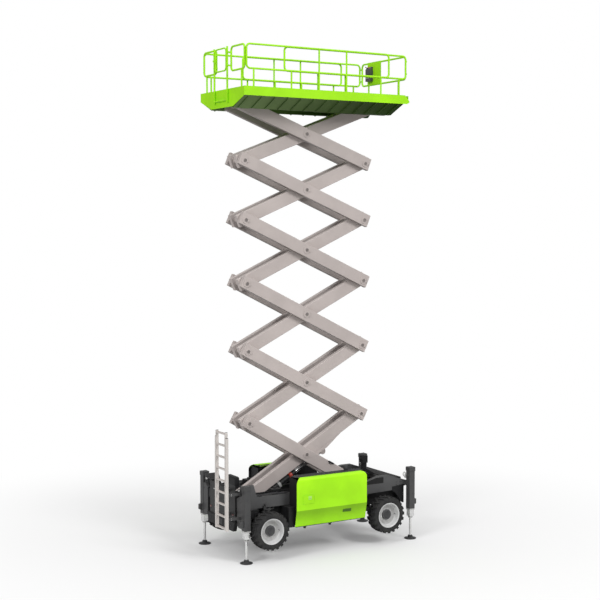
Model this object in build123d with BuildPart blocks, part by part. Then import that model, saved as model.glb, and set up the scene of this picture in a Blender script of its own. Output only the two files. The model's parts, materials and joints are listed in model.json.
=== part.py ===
"""Rough-terrain scissor lift standing on four outrigger jacks.

Millimetres, +Z up, +X towards the steered front axle, +Y to the left of the driver.
The origin lies on the ground in the centre plane, midway between the two ends.
"""

import os
from math import atan2, cos, degrees, radians, sin

from build123d import *

os.makedirs("parts", exist_ok=True)

# ---------------------------------------------------------------- fits and clearances
PIN_FIT = 0.05           # radial clearance of a pin in its bore
SLIDE_FIT = 0.5          # clearance of a sliding jack leg in its housing, each side
WELD_GAP = 0.3           # gap left between neighbouring pieces of one body
MOVE_GAP = 10.0          # side gap between pieces that move past each other

# ---------------------------------------------------------------- scissor linkage
STAGES = 6
MAST_X = -60.0           # upright line through the centre pins
ARM_LENGTH = 3214.0      # end pin to end pin
CENTRE_RISE = 26.4       # centre pin above the line of the end pins
BASE_PIN_Z = 1158.0      # lowest end pins above the ground
BASE_ANGLE = 30.08       # pin line of the lowest arms to the ground, as it stands
TUBE_DEPTH = 270.0
TUBE_WALL = 8.0
TUBE_OVERHANG = 118.0    # tube beyond its end pins
TUBE_RISE = 13.0         # tube centre line above the line of the end pins
PIN_R = 45.0
SLEEVE_R = 66.0          # sleeve welded through an inner arm round each pin
BOSS_R = 82.0            # doubler plate on an arm's side round each pin
BOSS_THICK = 8.0
HEAD_R = 62.0
HEAD_THICK = 14.0
INNER_IN, INNER_OUT = 85.0, 195.0      # inner arm tubes, distance from the centre plane
OUTER_IN, OUTER_OUT = 207.0, 307.0     # outer arm tubes
ROLLER_R = 60.0
ROLLER_IN, ROLLER_OUT = 335.0, 398.0
CROSS_R = 38.0           # plain cross tubes that tie a pair of arms

TILT_STEP = 2 * degrees(atan2(2 * CENTRE_RISE, ARM_LENGTH))   # each stage lies flatter
HALF = ARM_LENGTH / 2
TUBE_MID = TUBE_RISE - CENTRE_RISE     # tube centre line in an arm's own frame


def stage_angle(stage):
    """Angle of the pin lines of a stage to the ground, lowest stage first."""
    return BASE_ANGLE - TILT_STEP * stage


def stage_base(stage):
    """Height of the lower end pins of a stage."""
    return BASE_PIN_Z + sum(ARM_LENGTH * sin(radians(stage_angle(s))) for s in range(stage))


def stage_centre(stage):
    """Height of the centre pin of a stage."""
    angle = radians(stage_angle(stage))
    return stage_base(stage) + CENTRE_RISE * cos(angle) + HALF * sin(angle)


def low_pin_x(stage):
    """Distance of the lower end pins of a stage from the centre line."""
    angle = radians(stage_angle(stage))
    return HALF * cos(angle) - CENTRE_RISE * sin(angle)


def top_pin_x(stage):
    """Distance of the upper end pins of a stage from the centre line."""
    angle = radians(stage_angle(stage))
    return HALF * cos(angle) + CENTRE_RISE * sin(angle)


BASE_PIN_X = MAST_X - low_pin_x(0)            # fixed foot of the stack, on the frame
DECK_PIN_X = MAST_X - top_pin_x(STAGES - 1)   # fixed head of the stack, under the deck
DECK_PIN_Z = stage_base(STAGES)
LOW_END = (-HALF, -CENTRE_RISE)        # end pins of an arm in its own frame
HIGH_END = (HALF, -CENTRE_RISE)
PIN_SPOTS = [LOW_END, (0, 0), HIGH_END]

# ---------------------------------------------------------------- outrigger jacks
JACK_REAR_X, JACK_FRONT_X = -1895.0, 2225.0
JACK_Y = 955.0
JACK_SIDE = 145.0
JACK_WALL = 9.0
JACK_LOW, JACK_TOP = 680.0, 1512.0
SLEEVE_LOW = 505.0       # bottom of the inner leg tube as it stands
JACK_LIFT = 360.0        # how far a jack can still be drawn up
SLEEVE_TOP = JACK_TOP - JACK_LIFT - 7
ROD_R = 27.0
PAD_R = 132.0
PAD_HIGH = 62.0

# ---------------------------------------------------------------- chassis
RAIL_IN, RAIL_OUT = 690.0, 800.0       # side rails, distance from the centre plane
RAIL_LOW, RAIL_TOP = 1070.0, 1310.0
RAIL_NOSE_TOP = 1430.0
RAIL_REAR = JACK_REAR_X - JACK_SIDE / 2 + 12.5
RAIL_FRONT = 2270.0
WEB_IN, WEB_OUT = 404.0, 420.0         # inner webs that carry the roller tracks
WEB_LOW = 800.0
CROSS_LOW, CROSS_TOP = 800.0, 930.0    # low cross members
TRACK_WALL = 14.0
TRACK_GAP = 5.0                        # roller to track flange
TRACK_IN = 322.0
TRACK_REAR, TRACK_FRONT = MAST_X - 330, MAST_X + HALF + 223

# ---------------------------------------------------------------- wheels and axles
AXLE_Z = 645.0
WHEEL_Y = 1048.0         # centre of the tyre
TYRE_R = 402.0
TYRE_WIDTH = 300.0
JACK_TO_TYRE = 15.5      # rear jack to the rear tyre
STEER_FRONT, STEER_REAR = 251.5, 172.0 # room ahead of and behind a steered tyre
REAR_AXLE_X = JACK_REAR_X + JACK_SIDE / 2 + JACK_TO_TYRE + TYRE_R
FRONT_AXLE_X = JACK_FRONT_X - JACK_SIDE / 2 - STEER_FRONT - TYRE_R
BEAD_GAP = 0.3           # tyre bead to rim
RIM_R = 254.0
RIM_WIDTH = 276.0
RIM_EDGE = 6.0
HUB_R = 112.0            # hub cap
HUB_END = 9.5            # end of the stub shaft beyond the middle of the tyre
KINGPIN_Y = 815.0
KINGPIN_R = 28.0
STUB_R = 42.0
AXLE_DEPTH, AXLE_WIDTH = 130.0, 130.0
FORK_HALF = 75.0         # half height of the kingpin forks
KNUCKLE_HALF = 46.0

# ---------------------------------------------------------------- side power modules
# rear end, front end and top of each cover
COVER_FRONT_X = FRONT_AXLE_X - TYRE_R - STEER_REAR
COVERS = {
    "right": (REAR_AXLE_X + TYRE_R + 183, COVER_FRONT_X, 1682.0),
    "left": (REAR_AXLE_X + TYRE_R + 313, COVER_FRONT_X, 1592.0),
}
COVER_Y = 1172.0         # outer face of the cover
COVER_IN_Y = 830.0
COVER_LOW, COVER_FOLD = 650.0, 995.0
COVER_WALL = 5.0
COVER_TUCK = 70.0        # how far the lower part leans inwards
COVER_SHOULDER = 75.0    # radius of the rolled top edge
COVER_CORNER = 130.0     # upper corners seen from the side

# ---------------------------------------------------------------- platform
DECK_REAR, DECK_FRONT = -1932.0, 2126.0
DECK_HALF = 980.0
DECK_KEEL = 490.0        # half width of the deep middle of the underframe
DECK_LOW = DECK_PIN_Z - 75.0
FLOOR_LOW = DECK_PIN_Z + 157.3
FLOOR_TOP = FLOOR_LOW + 8
SKIRT_LOW, SKIRT_TOP = FLOOR_LOW - 24, FLOOR_TOP + 150
SKIRT_WALL = 6.0
RAIL_R = 20.0            # guard rail tube
LEG_R = 18.0             # posts and legs of the guard rails
RAIL_BEND = 80.0         # bend radius of the guard rail tube
RAIL_Y = DECK_HALF - 32    # guard rails, distance from the centre plane
TOP_RAIL, LOW_RAIL = FLOOR_TOP + 998, FLOOR_TOP + 511
SIDE_RAIL_REAR, SIDE_RAIL_FRONT = -1860.0, 1604.0
REAR_RAIL_X = -1880.0
EXT_RAIL_Y = RAIL_Y - 2 * RAIL_R - 8.0
EXT_REAR, EXT_FRONT = -970.0, 2140.0
EXT_HALF = DECK_HALF - 58
EXT_LOW, EXT_TOP = FLOOR_TOP + 6.0, FLOOR_TOP + 30.0

# ---------------------------------------------------------------- lift cylinder
EYE_SPOT = (467.8, -289.8)             # rod's eye in the lowest inner arm's own frame
ground = radians(BASE_ANGLE)
CYL_BASE = (BASE_PIN_X + 227.3, 970.0) # x, z of the barrel's pin
CYL_EYE = (MAST_X + EYE_SPOT[0] * cos(ground) - EYE_SPOT[1] * sin(ground),
           stage_centre(0) + EYE_SPOT[0] * sin(ground) + EYE_SPOT[1] * cos(ground))
BARREL_R = 78.0
BARREL_BORE = 66.0
BARREL_LENGTH = 1190.0
ROD_RADIUS = 45.0
CYL_PIN_R = 30.0


def save(builder, label):
    """Label a finished piece and write it."""
    builder.part.label = label
    export_step(builder.part, f"parts/{label}.step")


def arm_place(stage, rising):
    """Place of an arm's own frame: a rising arm goes up towards the front."""
    turn = 0 if rising else 180
    lean = Rotation(0, -stage_angle(stage), 0)
    return Location((MAST_X, 0, stage_centre(stage))) * Rotation(0, 0, turn) * lean


def side_plane(y):
    """Vertical lengthwise plane at a distance to the right, drawn with x and z."""
    return Plane.XZ.offset(y)


def cross_plane(x):
    """Vertical crosswise plane, drawn with y and z."""
    return Plane.YZ.offset(x)


# ================================================================ scissor arms
SLEEVE_PROUD = 6.0       # sleeve beyond the tube's side, to carry the side load
CROSS_SPOTS = [(-HALF + 420, TUBE_MID), (-430, TUBE_MID), (430, TUBE_MID), (HALF - 420, TUBE_MID)]
DECK_LUG_IN, DECK_LUG_OUT = 322.0, 346.0
TUBE_END = HALF + TUBE_OVERHANG
TUBE_UNDER = TUBE_MID - TUBE_DEPTH / 2
TUBE_OVER = TUBE_MID + TUBE_DEPTH / 2
TOP_TRIM = [(HALF + 18, TUBE_OVER + 1), (TUBE_END + 1, TUBE_OVER + 1),
            (TUBE_END + 1, 70 - CENTRE_RISE)]      # cut off so that the end stays under the floor
TRIM_HALF = OUTER_OUT + 1

# lug under the lowest inner arm that the lift cylinder's rod pushes on
EYE_HALF = 48.0          # half width of the rod's eye
EYE_R = 62.0
LUG_THICK = 22.0
LUG_IN = EYE_HALF + 6
GUSSET = [(30, TUBE_UNDER + 4), (30, TUBE_UNDER - 70), (560, TUBE_UNDER - 70),
          (980, TUBE_UNDER + 4)]
LIFT_LUG = [(EYE_SPOT[0] - 110, TUBE_UNDER + 10), (EYE_SPOT[0] + 110, TUBE_UNDER + 10),
            (EYE_SPOT[0] + EYE_R, EYE_SPOT[1]), (EYE_SPOT[0] - EYE_R, EYE_SPOT[1])]


def arm_tubes(inner, outer):
    """Two capped box tubes, one each side of the centre plane."""
    with BuildPart() as tubes:
        with BuildSketch(side_plane(inner)):
            with Locations((0, TUBE_MID)):
                Rectangle(2 * TUBE_END, TUBE_DEPTH)
        extrude(amount=outer - inner)
        fillet(tubes.edges().filter_by(Axis.X), 14)
        with BuildSketch(side_plane(inner + TUBE_WALL)):
            with Locations((0, TUBE_MID)):
                Rectangle(2 * (TUBE_END - TUBE_WALL), TUBE_DEPTH - 2 * TUBE_WALL)
        extrude(amount=outer - inner - 2 * TUBE_WALL, mode=Mode.SUBTRACT)
        mirror(about=Plane.XZ)
    return tubes


def outer_arm(stage):
    """Pair of outer tubes with the three pins that run through the inner arms."""
    lowest, highest = stage == 0, stage == STAGES - 1
    tubes = arm_tubes(OUTER_IN, OUTER_OUT)
    with BuildPart() as arm:
        add(tubes.part)
        with BuildSketch(side_plane(-OUTER_OUT - HEAD_THICK)):
            with Locations(*PIN_SPOTS):
                Circle(PIN_R)
        extrude(amount=2 * (OUTER_OUT + HEAD_THICK))
        for side in (OUTER_OUT, -OUTER_OUT - BOSS_THICK):
            with BuildSketch(side_plane(side)):
                with Locations(*PIN_SPOTS):
                    Circle(BOSS_R)
            extrude(amount=BOSS_THICK)
        if lowest:
            with BuildSketch(side_plane(-ROLLER_OUT)):
                with Locations(LOW_END):
                    Circle(PIN_R - 10)
            extrude(amount=2 * ROLLER_OUT)
            for side in (ROLLER_IN, -ROLLER_OUT):
                with BuildSketch(side_plane(side)):
                    with Locations(LOW_END):
                        Circle(ROLLER_R)
                extrude(amount=ROLLER_OUT - ROLLER_IN)
        if highest:
            with BuildSketch(side_plane(-DECK_LUG_OUT)):
                with Locations(HIGH_END):
                    Circle(PIN_R)
            extrude(amount=2 * DECK_LUG_OUT)
            with BuildSketch(side_plane(-TRIM_HALF)):
                Polygon(*TOP_TRIM, align=None)
            extrude(amount=2 * TRIM_HALF, mode=Mode.SUBTRACT)
    return arm


def inner_arm(stage):
    """Pair of inner tubes joined by the sleeves that turn on the outer arms' pins."""
    lowest, highest = stage == 0, stage == STAGES - 1
    tubes = arm_tubes(INNER_IN, INNER_OUT)
    with BuildPart() as arm:
        add(tubes.part)
        with BuildSketch(side_plane(-INNER_OUT - SLEEVE_PROUD)):
            with Locations(*PIN_SPOTS):
                Circle(SLEEVE_R)
        extrude(amount=2 * (INNER_OUT + SLEEVE_PROUD))
        with BuildSketch(side_plane(-INNER_IN - TUBE_WALL)):
            with Locations(*CROSS_SPOTS):
                Circle(CROSS_R)
        extrude(amount=2 * (INNER_IN + TUBE_WALL))
        if lowest:
            for side in (INNER_IN, -INNER_OUT):
                with BuildSketch(side_plane(side)):
                    Polygon(*GUSSET, align=None)
                extrude(amount=INNER_OUT - INNER_IN)
            for side in (LUG_IN, -LUG_IN - LUG_THICK):
                with BuildSketch(side_plane(side)):
                    Polygon(*LIFT_LUG, align=None)
                    with Locations(EYE_SPOT):
                        Circle(EYE_R + 8)
                extrude(amount=LUG_THICK)
            with BuildSketch(side_plane(-INNER_IN - TUBE_WALL)):
                with Locations((EYE_SPOT[0], TUBE_UNDER - 4)):
                    Rectangle(230, 36)
            extrude(amount=2 * (INNER_IN + TUBE_WALL))
        with BuildSketch(side_plane(-INNER_OUT - SLEEVE_PROUD)):
            with Locations(*(PIN_SPOTS[:2] if highest else PIN_SPOTS)):
                Circle(PIN_R + PIN_FIT)
        extrude(amount=2 * (INNER_OUT + SLEEVE_PROUD), mode=Mode.SUBTRACT)
        if highest:
            with BuildSketch(side_plane(-ROLLER_OUT)):
                with Locations(HIGH_END):
                    Circle(PIN_R - 10)
            extrude(amount=2 * ROLLER_OUT)
            for side in (ROLLER_IN, -ROLLER_OUT):
                with BuildSketch(side_plane(side)):
                    with Locations(HIGH_END):
                        Circle(ROLLER_R)
                extrude(amount=ROLLER_OUT - ROLLER_IN)
            with BuildSketch(side_plane(-TRIM_HALF)):
                Polygon(*TOP_TRIM, align=None)
            extrude(amount=2 * TRIM_HALF, mode=Mode.SUBTRACT)
    return arm


rising_arms = {"lowest": inner_arm(0), "plain": inner_arm(1), "highest": inner_arm(STAGES - 1)}
falling_arms = {"lowest": outer_arm(0), "plain": outer_arm(1), "highest": outer_arm(STAGES - 1)}
for stage in range(STAGES):
    kind = "lowest" if stage == 0 else "highest" if stage == STAGES - 1 else "plain"
    with BuildPart() as placed:
        with Locations(arm_place(stage, rising=True)):
            add(rising_arms[kind].part)
    save(placed, f"inner_arm_{stage + 1}")
    with BuildPart() as placed:
        with Locations(arm_place(stage, rising=False)):
            add(falling_arms[kind].part)
    save(placed, f"outer_arm_{stage + 1}")

# ================================================================ chassis frame
RAIL_SHAPE = [(RAIL_REAR, RAIL_LOW), (1120, RAIL_LOW), (1840, RAIL_LOW + 20), (RAIL_FRONT, 1180),
              (RAIL_FRONT, 1262), (1900, 1380), (1760, RAIL_NOSE_TOP), (1500, RAIL_NOSE_TOP),
              (1060, RAIL_TOP), (RAIL_REAR, RAIL_TOP)]
CORNER_PLATE = [(RAIL_REAR, 770), (RAIL_REAR, 1575), (-1640, 1575), (-1560, RAIL_TOP + 4),
                (-1430, RAIL_TOP - 4), (-1430, RAIL_LOW + 4), (-1560, RAIL_LOW - 4), (-1640, 770)]
FRAME_BEAMS = [-1890, -1350, -760, 0, 700, 1180, 2000]         # beams between web and rail
LOW_BEAMS = [BASE_PIN_X, -480, 240, 940, FRONT_AXLE_X, 1900]   # low cross members
PIVOT_LUG_IN, PIVOT_LUG_OUT = 214.0, 262.0
PIVOT_LUG_R = 82.0
WEB_REAR, WEB_FRONT = -1930.0, 2080.0
HIGH_BEAM_X = 1857.0                                           # beam that carries the stack rest
AXLE_TOP = AXLE_Z + AXLE_DEPTH / 2
SADDLE_Y = 330.0
LIFT_BEAM_Z = 820.0
LASHING_EYES = [-1180.0, 1180.0]
LASHING_BORE = 22.0
LASHING_THICK = 18.0

with BuildPart() as frame:
    # side rails with an upswept nose
    with BuildSketch(side_plane(RAIL_IN)):
        with BuildLine():
            Polyline(*RAIL_SHAPE, close=True)
        make_face()
    extrude(amount=RAIL_OUT - RAIL_IN)
    # deep corner plates beside the rear jacks
    with BuildSketch(side_plane(RAIL_OUT - 12)):
        with BuildLine():
            Polyline(*CORNER_PLATE, close=True)
        make_face()
    extrude(amount=12)
    # lashing eyes under the rails
    for x in LASHING_EYES:
        with BuildSketch(side_plane((RAIL_IN + RAIL_OUT - LASHING_THICK) / 2)):
            with BuildLine():
                Polyline((x - 75, RAIL_LOW + 6), (x - 42, RAIL_LOW - 62), (x + 42, RAIL_LOW - 62),
                         (x + 75, RAIL_LOW + 6), close=True)
            make_face()
            with Locations((x, RAIL_LOW - 28)):
                Circle(LASHING_BORE, mode=Mode.SUBTRACT)
        extrude(amount=LASHING_THICK)
    # inner webs with lightening slots
    with BuildSketch(side_plane(WEB_IN)):
        with BuildLine():
            Polyline((WEB_REAR, 1000), (WEB_REAR, RAIL_TOP), (WEB_FRONT, RAIL_TOP), (WEB_FRONT, 1000),
                     (1640, WEB_LOW), (-1620, WEB_LOW), close=True)
        make_face()
        with Locations((-1000, 1010), (-130, 1010), (590, 1010)):
            SlotOverall(340, 90, mode=Mode.SUBTRACT)
    extrude(amount=WEB_OUT - WEB_IN)
    with Locations(*[(x, -(WEB_OUT + RAIL_IN) / 2, 1190) for x in FRAME_BEAMS]):
        Box(110, RAIL_IN - WEB_OUT, 180)
    # foot of the stack: bearing lugs on the rear low cross member
    with Locations((BASE_PIN_X, -(PIVOT_LUG_OUT + WEB_IN) / 2, BASE_PIN_Z)):
        Box(200, WEB_IN - PIVOT_LUG_OUT, 90)
    with BuildSketch(side_plane(PIVOT_LUG_IN)):
        Polygon((BASE_PIN_X - 120, CROSS_TOP - 10), (BASE_PIN_X + 120, CROSS_TOP - 10),
                (BASE_PIN_X + PIVOT_LUG_R, BASE_PIN_Z), (BASE_PIN_X - PIVOT_LUG_R, BASE_PIN_Z),
                align=None)
        with Locations((BASE_PIN_X, BASE_PIN_Z)):
            Circle(PIVOT_LUG_R)
    extrude(amount=PIVOT_LUG_OUT - PIVOT_LUG_IN)
    # tracks for the rollers of the lowest outer arms
    for low in (BASE_PIN_Z - ROLLER_R - TRACK_GAP - TRACK_WALL, BASE_PIN_Z + ROLLER_R + TRACK_GAP):
        with BuildSketch(Plane.XY.offset(low)):
            with Locations(((TRACK_REAR + TRACK_FRONT) / 2, -(TRACK_IN + WEB_IN) / 2)):
                Rectangle(TRACK_FRONT - TRACK_REAR, WEB_IN - TRACK_IN)
        extrude(amount=TRACK_WALL)
    # axle saddles
    for x in (REAR_AXLE_X, FRONT_AXLE_X):
        with BuildSketch(Plane.XY.offset(AXLE_TOP + WELD_GAP)):
            with Locations((x, -SADDLE_Y)):
                Rectangle(AXLE_WIDTH, 60)
        extrude(amount=CROSS_LOW + 10 - AXLE_TOP - WELD_GAP)
        with Locations((x, -SADDLE_Y, CROSS_LOW + 25)):
            Box(AXLE_WIDTH + 150, 2 * (WEB_IN - SADDLE_Y), 50)
    # bearing lugs of the lift cylinder
    with BuildSketch(side_plane(LUG_IN)):
        Polygon((CYL_BASE[0] - 80, LIFT_BEAM_Z), (CYL_BASE[0] + 80, LIFT_BEAM_Z),
                (CYL_BASE[0] + 55, CYL_BASE[1]), (CYL_BASE[0] - 55, CYL_BASE[1]), align=None)
        with Locations(CYL_BASE):
            Circle(55)
    extrude(amount=LUG_THICK)
    mirror(about=Plane.XZ)
    # cross members
    with Locations(*[(x, 0, (CROSS_LOW + CROSS_TOP) / 2) for x in LOW_BEAMS]):
        Box(120, 2 * WEB_IN, CROSS_TOP - CROSS_LOW)
    with Locations((CYL_BASE[0], 0, LIFT_BEAM_Z)):
        Box(170, 2 * WEB_IN, 40)
    with Locations((HIGH_BEAM_X, 0, RAIL_TOP - 40)):
        Box(60, 2 * WEB_IN, 80)
    # fixed pins of the stack and of the lift cylinder
    with BuildSketch(side_plane(-PIVOT_LUG_OUT)):
        with Locations((BASE_PIN_X, BASE_PIN_Z)):
            Circle(PIN_R)
    extrude(amount=2 * PIVOT_LUG_OUT)
    with BuildSketch(side_plane(-LUG_IN - LUG_THICK - 10)):
        with Locations(CYL_BASE):
            Circle(CYL_PIN_R)
    extrude(amount=2 * (LUG_IN + LUG_THICK + 10))
save(frame, "frame")

# ---------------------------------------------------------------- rear end
END_PLATE = 12.0
END_FACE = RAIL_REAR - WELD_GAP
HOOD = [(END_FACE - END_PLATE, 1540), (END_FACE - END_PLATE, 1735), (END_FACE + 30, 1762),
        (END_FACE + 70, 1762), (END_FACE + 70, 1540)]

with BuildPart() as rear_end:
    with BuildSketch(cross_plane(END_FACE - END_PLATE)):
        with BuildLine():
            Polyline((-850, 1560), (-850, 860), (-620, 770), (620, 770), (850, 860), (850, 1560),
                     (500, 1560), (420, 1440), (-250, 1440), (-330, 1560), close=True)
        make_face()
    extrude(amount=END_PLATE)
    fillet(rear_end.edges().filter_by(Axis.X), 22)
    with BuildSketch(cross_plane(END_FACE - END_PLATE - 40)):
        with BuildLine():
            Polyline((-640, 800), (-560, 590), (560, 590), (640, 800), close=True)
        make_face()
    extrude(amount=100)
    fillet(rear_end.edges().filter_by(Axis.Y).group_by(Axis.Z)[0], 18)
    # hood over the lamp and the wiring
    with BuildSketch(side_plane(330)):
        with BuildLine():
            Polyline(*HOOD, close=True)
        make_face()
    extrude(amount=350)
    fillet(rear_end.edges().filter_by(Axis.X).group_by(Axis.Z)[-1], 40)
save(rear_end, "rear_end")

# ---------------------------------------------------------------- jack housings
JACK_CAP = JACK_SIDE + 14
JACK_CAP_HIGH = 86.0
with BuildPart() as jack_housings:
    for x, outward in ((JACK_REAR_X, -1), (JACK_FRONT_X, 1)):
        with BuildSketch(Plane.XY.offset(JACK_LOW)):
            with Locations((x, -JACK_Y)):
                RectangleRounded(JACK_SIDE, JACK_SIDE, 14)
                Rectangle(JACK_SIDE - 2 * JACK_WALL, JACK_SIDE - 2 * JACK_WALL, mode=Mode.SUBTRACT)
        extrude(amount=JACK_TOP - JACK_LOW)
        # deep cap
        with BuildSketch(Plane.XY.offset(JACK_TOP)):
            with Locations((x, -JACK_Y)):
                RectangleRounded(JACK_CAP, JACK_CAP, 10)
        extrude(amount=JACK_CAP_HIGH)
        # lug on the outer side
        with BuildSketch(side_plane(JACK_Y - 30)):
            Polygon((x + outward * (JACK_SIDE / 2 - 4), 745), (x + outward * (JACK_SIDE / 2 + 66), 775),
                    (x + outward * (JACK_SIDE / 2 + 66), 880), (x + outward * (JACK_SIDE / 2 - 4), 905),
                    align=None)
        extrude(amount=60)
        # outrigger beam and gusset plate to the side rail
        with Locations((x, -(RAIL_OUT + WELD_GAP + JACK_Y - JACK_SIDE / 2) / 2, 1220)):
            Box(JACK_SIDE - 40, JACK_Y - JACK_SIDE / 2 - RAIL_OUT - WELD_GAP, 90)
        with BuildSketch(cross_plane(x - 6)):
            with BuildLine():
                Polyline((-RAIL_OUT - WELD_GAP, 1280), (-RAIL_OUT - WELD_GAP, 1075),
                         (4 - JACK_Y + JACK_SIDE / 2, 735), (2 - JACK_Y + JACK_SIDE / 2, 1280), close=True)
            make_face()
        extrude(amount=12)
    mirror(about=Plane.XZ)
save(jack_housings, "jack_housings")

# ---------------------------------------------------------------- jack legs and pads
LEG_SIDE = JACK_SIDE - 2 * JACK_WALL - 2 * SLIDE_FIT
JACKS = {
    "rear_right": (JACK_REAR_X, -JACK_Y),
    "rear_left": (JACK_REAR_X, JACK_Y),
    "front_right": (JACK_FRONT_X, -JACK_Y),
    "front_left": (JACK_FRONT_X, JACK_Y),
}
ROD_SEAT = PAD_HIGH - 8                # foot of the rod inside the pad's socket
PAD_SECTION = [(0, 0), (PAD_R - 6, 0), (PAD_R, 6), (PAD_R, 16), (62, 30), (54, 38), (54, PAD_HIGH),
               (ROD_R + WELD_GAP, PAD_HIGH), (ROD_R + WELD_GAP, ROD_SEAT - WELD_GAP),
               (0, ROD_SEAT - WELD_GAP)]
for corner, (x, y) in JACKS.items():
    with BuildPart() as leg:
        with BuildSketch(Plane.XY.offset(SLEEVE_LOW)):
            with Locations((x, y)):
                RectangleRounded(LEG_SIDE, LEG_SIDE, 16)
        extrude(amount=SLEEVE_TOP - SLEEVE_LOW)
        chamfer(leg.edges().group_by(Axis.Z)[0], 5)
        with BuildSketch(Plane.XY.offset(ROD_SEAT)):
            with Locations((x, y)):
                Circle(ROD_R)
        extrude(amount=SLEEVE_LOW + 8 - ROD_SEAT)
        with BuildSketch(Plane.XY.offset(SLEEVE_LOW - 14)):
            with Locations((x, y)):
                Circle(ROD_R + 15)
        extrude(amount=20)
    save(leg, f"jack_leg_{corner}")
    with BuildPart() as pad:
        with BuildSketch(Plane.XZ.offset(-y)):
            with BuildLine():
                Polyline(*[(x + r, z) for r, z in PAD_SECTION], close=True)
            make_face()
        revolve(axis=Axis((x, y, 0), (0, 0, 1)))
    save(pad, f"jack_pad_{corner}")

# ---------------------------------------------------------------- axles
AXLE_END = 780.0
FORK_Y = KINGPIN_Y - 45.0
with BuildPart() as rear_axle:
    with BuildSketch(side_plane(-AXLE_END)):
        with Locations((REAR_AXLE_X, AXLE_Z)):
            RectangleRounded(AXLE_WIDTH, AXLE_DEPTH, 22)
    extrude(amount=2 * AXLE_END)
    with Locations((REAR_AXLE_X, 0, AXLE_Z)):
        Sphere(120)
        Cylinder(62, 200, rotation=(0, 90, 0), align=(Align.CENTER, Align.CENTER, Align.MIN))
    with Locations((REAR_AXLE_X, AXLE_END, AXLE_Z), (REAR_AXLE_X, -AXLE_END, AXLE_Z)):
        Cylinder(105, 60, rotation=(90, 0, 0))
    with Locations((REAR_AXLE_X, 0, AXLE_Z)):
        Cylinder(STUB_R, 2 * (WHEEL_Y + HUB_END), rotation=(90, 0, 0))
save(rear_axle, "rear_axle")

with BuildPart() as front_axle:
    with BuildSketch(side_plane(-720)):
        with Locations((FRONT_AXLE_X, AXLE_Z)):
            RectangleRounded(AXLE_WIDTH, AXLE_DEPTH, 22)
    extrude(amount=2 * 720)
    with Locations((FRONT_AXLE_X, 0, AXLE_Z)):
        Sphere(120)
    # forks that hold the kingpins
    with BuildSketch(Plane.XY.offset(AXLE_Z - FORK_HALF)):
        for y in (-KINGPIN_Y, KINGPIN_Y):
            with Locations((FRONT_AXLE_X, y)):
                Circle(52)
            with Locations((FRONT_AXLE_X, (y + (FORK_Y - 60) * y / KINGPIN_Y) / 2)):
                Rectangle(104, KINGPIN_Y - FORK_Y + 60)
    extrude(amount=2 * FORK_HALF)
    with BuildSketch(Plane.XY.offset(AXLE_Z - KNUCKLE_HALF - 5)):
        for y in (-KINGPIN_Y, KINGPIN_Y):
            with Locations((FRONT_AXLE_X, y)):
                Rectangle(140, 170)
    extrude(amount=2 * (KNUCKLE_HALF + 5), mode=Mode.SUBTRACT)
    with Locations((FRONT_AXLE_X, KINGPIN_Y, AXLE_Z), (FRONT_AXLE_X, -KINGPIN_Y, AXLE_Z)):
        Cylinder(KINGPIN_R + PIN_FIT, 2 * KNUCKLE_HALF + 36, mode=Mode.SUBTRACT)
save(front_axle, "front_axle")

for hand, side in (("right", -1), ("left", 1)):
    with BuildPart() as knuckle:
        with BuildSketch(Plane.XY.offset(AXLE_Z - KNUCKLE_HALF)):
            with Locations((FRONT_AXLE_X, side * KINGPIN_Y)):
                Circle(46)
            with Locations((FRONT_AXLE_X, side * (KINGPIN_Y + 30))):
                Rectangle(92, 60)
        extrude(amount=2 * KNUCKLE_HALF)
        with Locations((FRONT_AXLE_X, side * KINGPIN_Y, AXLE_Z)):
            Cylinder(KINGPIN_R, 2 * KNUCKLE_HALF + 34)
        with Locations((FRONT_AXLE_X, side * (KINGPIN_Y + WHEEL_Y + HUB_END) / 2, AXLE_Z)):
            Cylinder(STUB_R, WHEEL_Y + HUB_END - KINGPIN_Y, rotation=(90, 0, 0))
        # steering arm
        with BuildSketch(Plane.XY.offset(AXLE_Z - 12)):
            Polygon((FRONT_AXLE_X - 30, side * (KINGPIN_Y - 20)), (FRONT_AXLE_X - 30, side * (KINGPIN_Y + 40)),
                    (FRONT_AXLE_X - 190, side * (KINGPIN_Y - 20)), (FRONT_AXLE_X - 190, side * (KINGPIN_Y - 60)),
                    align=None)
            with Locations((FRONT_AXLE_X - 185, side * (KINGPIN_Y - 40))):
                Circle(30)
        extrude(amount=24)
    save(knuckle, f"knuckle_{hand}")

# ---------------------------------------------------------------- wheels
WHEELS = {
    "rear_right": (REAR_AXLE_X, -1),
    "rear_left": (REAR_AXLE_X, 1),
    "front_right": (FRONT_AXLE_X, -1),
    "front_left": (FRONT_AXLE_X, 1),
}
half_tyre, half_rim = TYRE_WIDTH / 2, RIM_WIDTH / 2
BEAD_Y = half_rim - RIM_EDGE - BEAD_GAP
TYRE_SECTION = [(-BEAD_Y, RIM_R + BEAD_GAP), (-BEAD_Y, RIM_R + 18), (4 - half_tyre, RIM_R + 42),
                (-half_tyre, TYRE_R - 62), (14 - half_tyre, TYRE_R - 16), (44 - half_tyre, TYRE_R),
                (half_tyre - 44, TYRE_R), (half_tyre - 14, TYRE_R - 16), (half_tyre, TYRE_R - 62),
                (half_tyre - 4, RIM_R + 42), (BEAD_Y, RIM_R + 18), (BEAD_Y, RIM_R + BEAD_GAP)]
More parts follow.
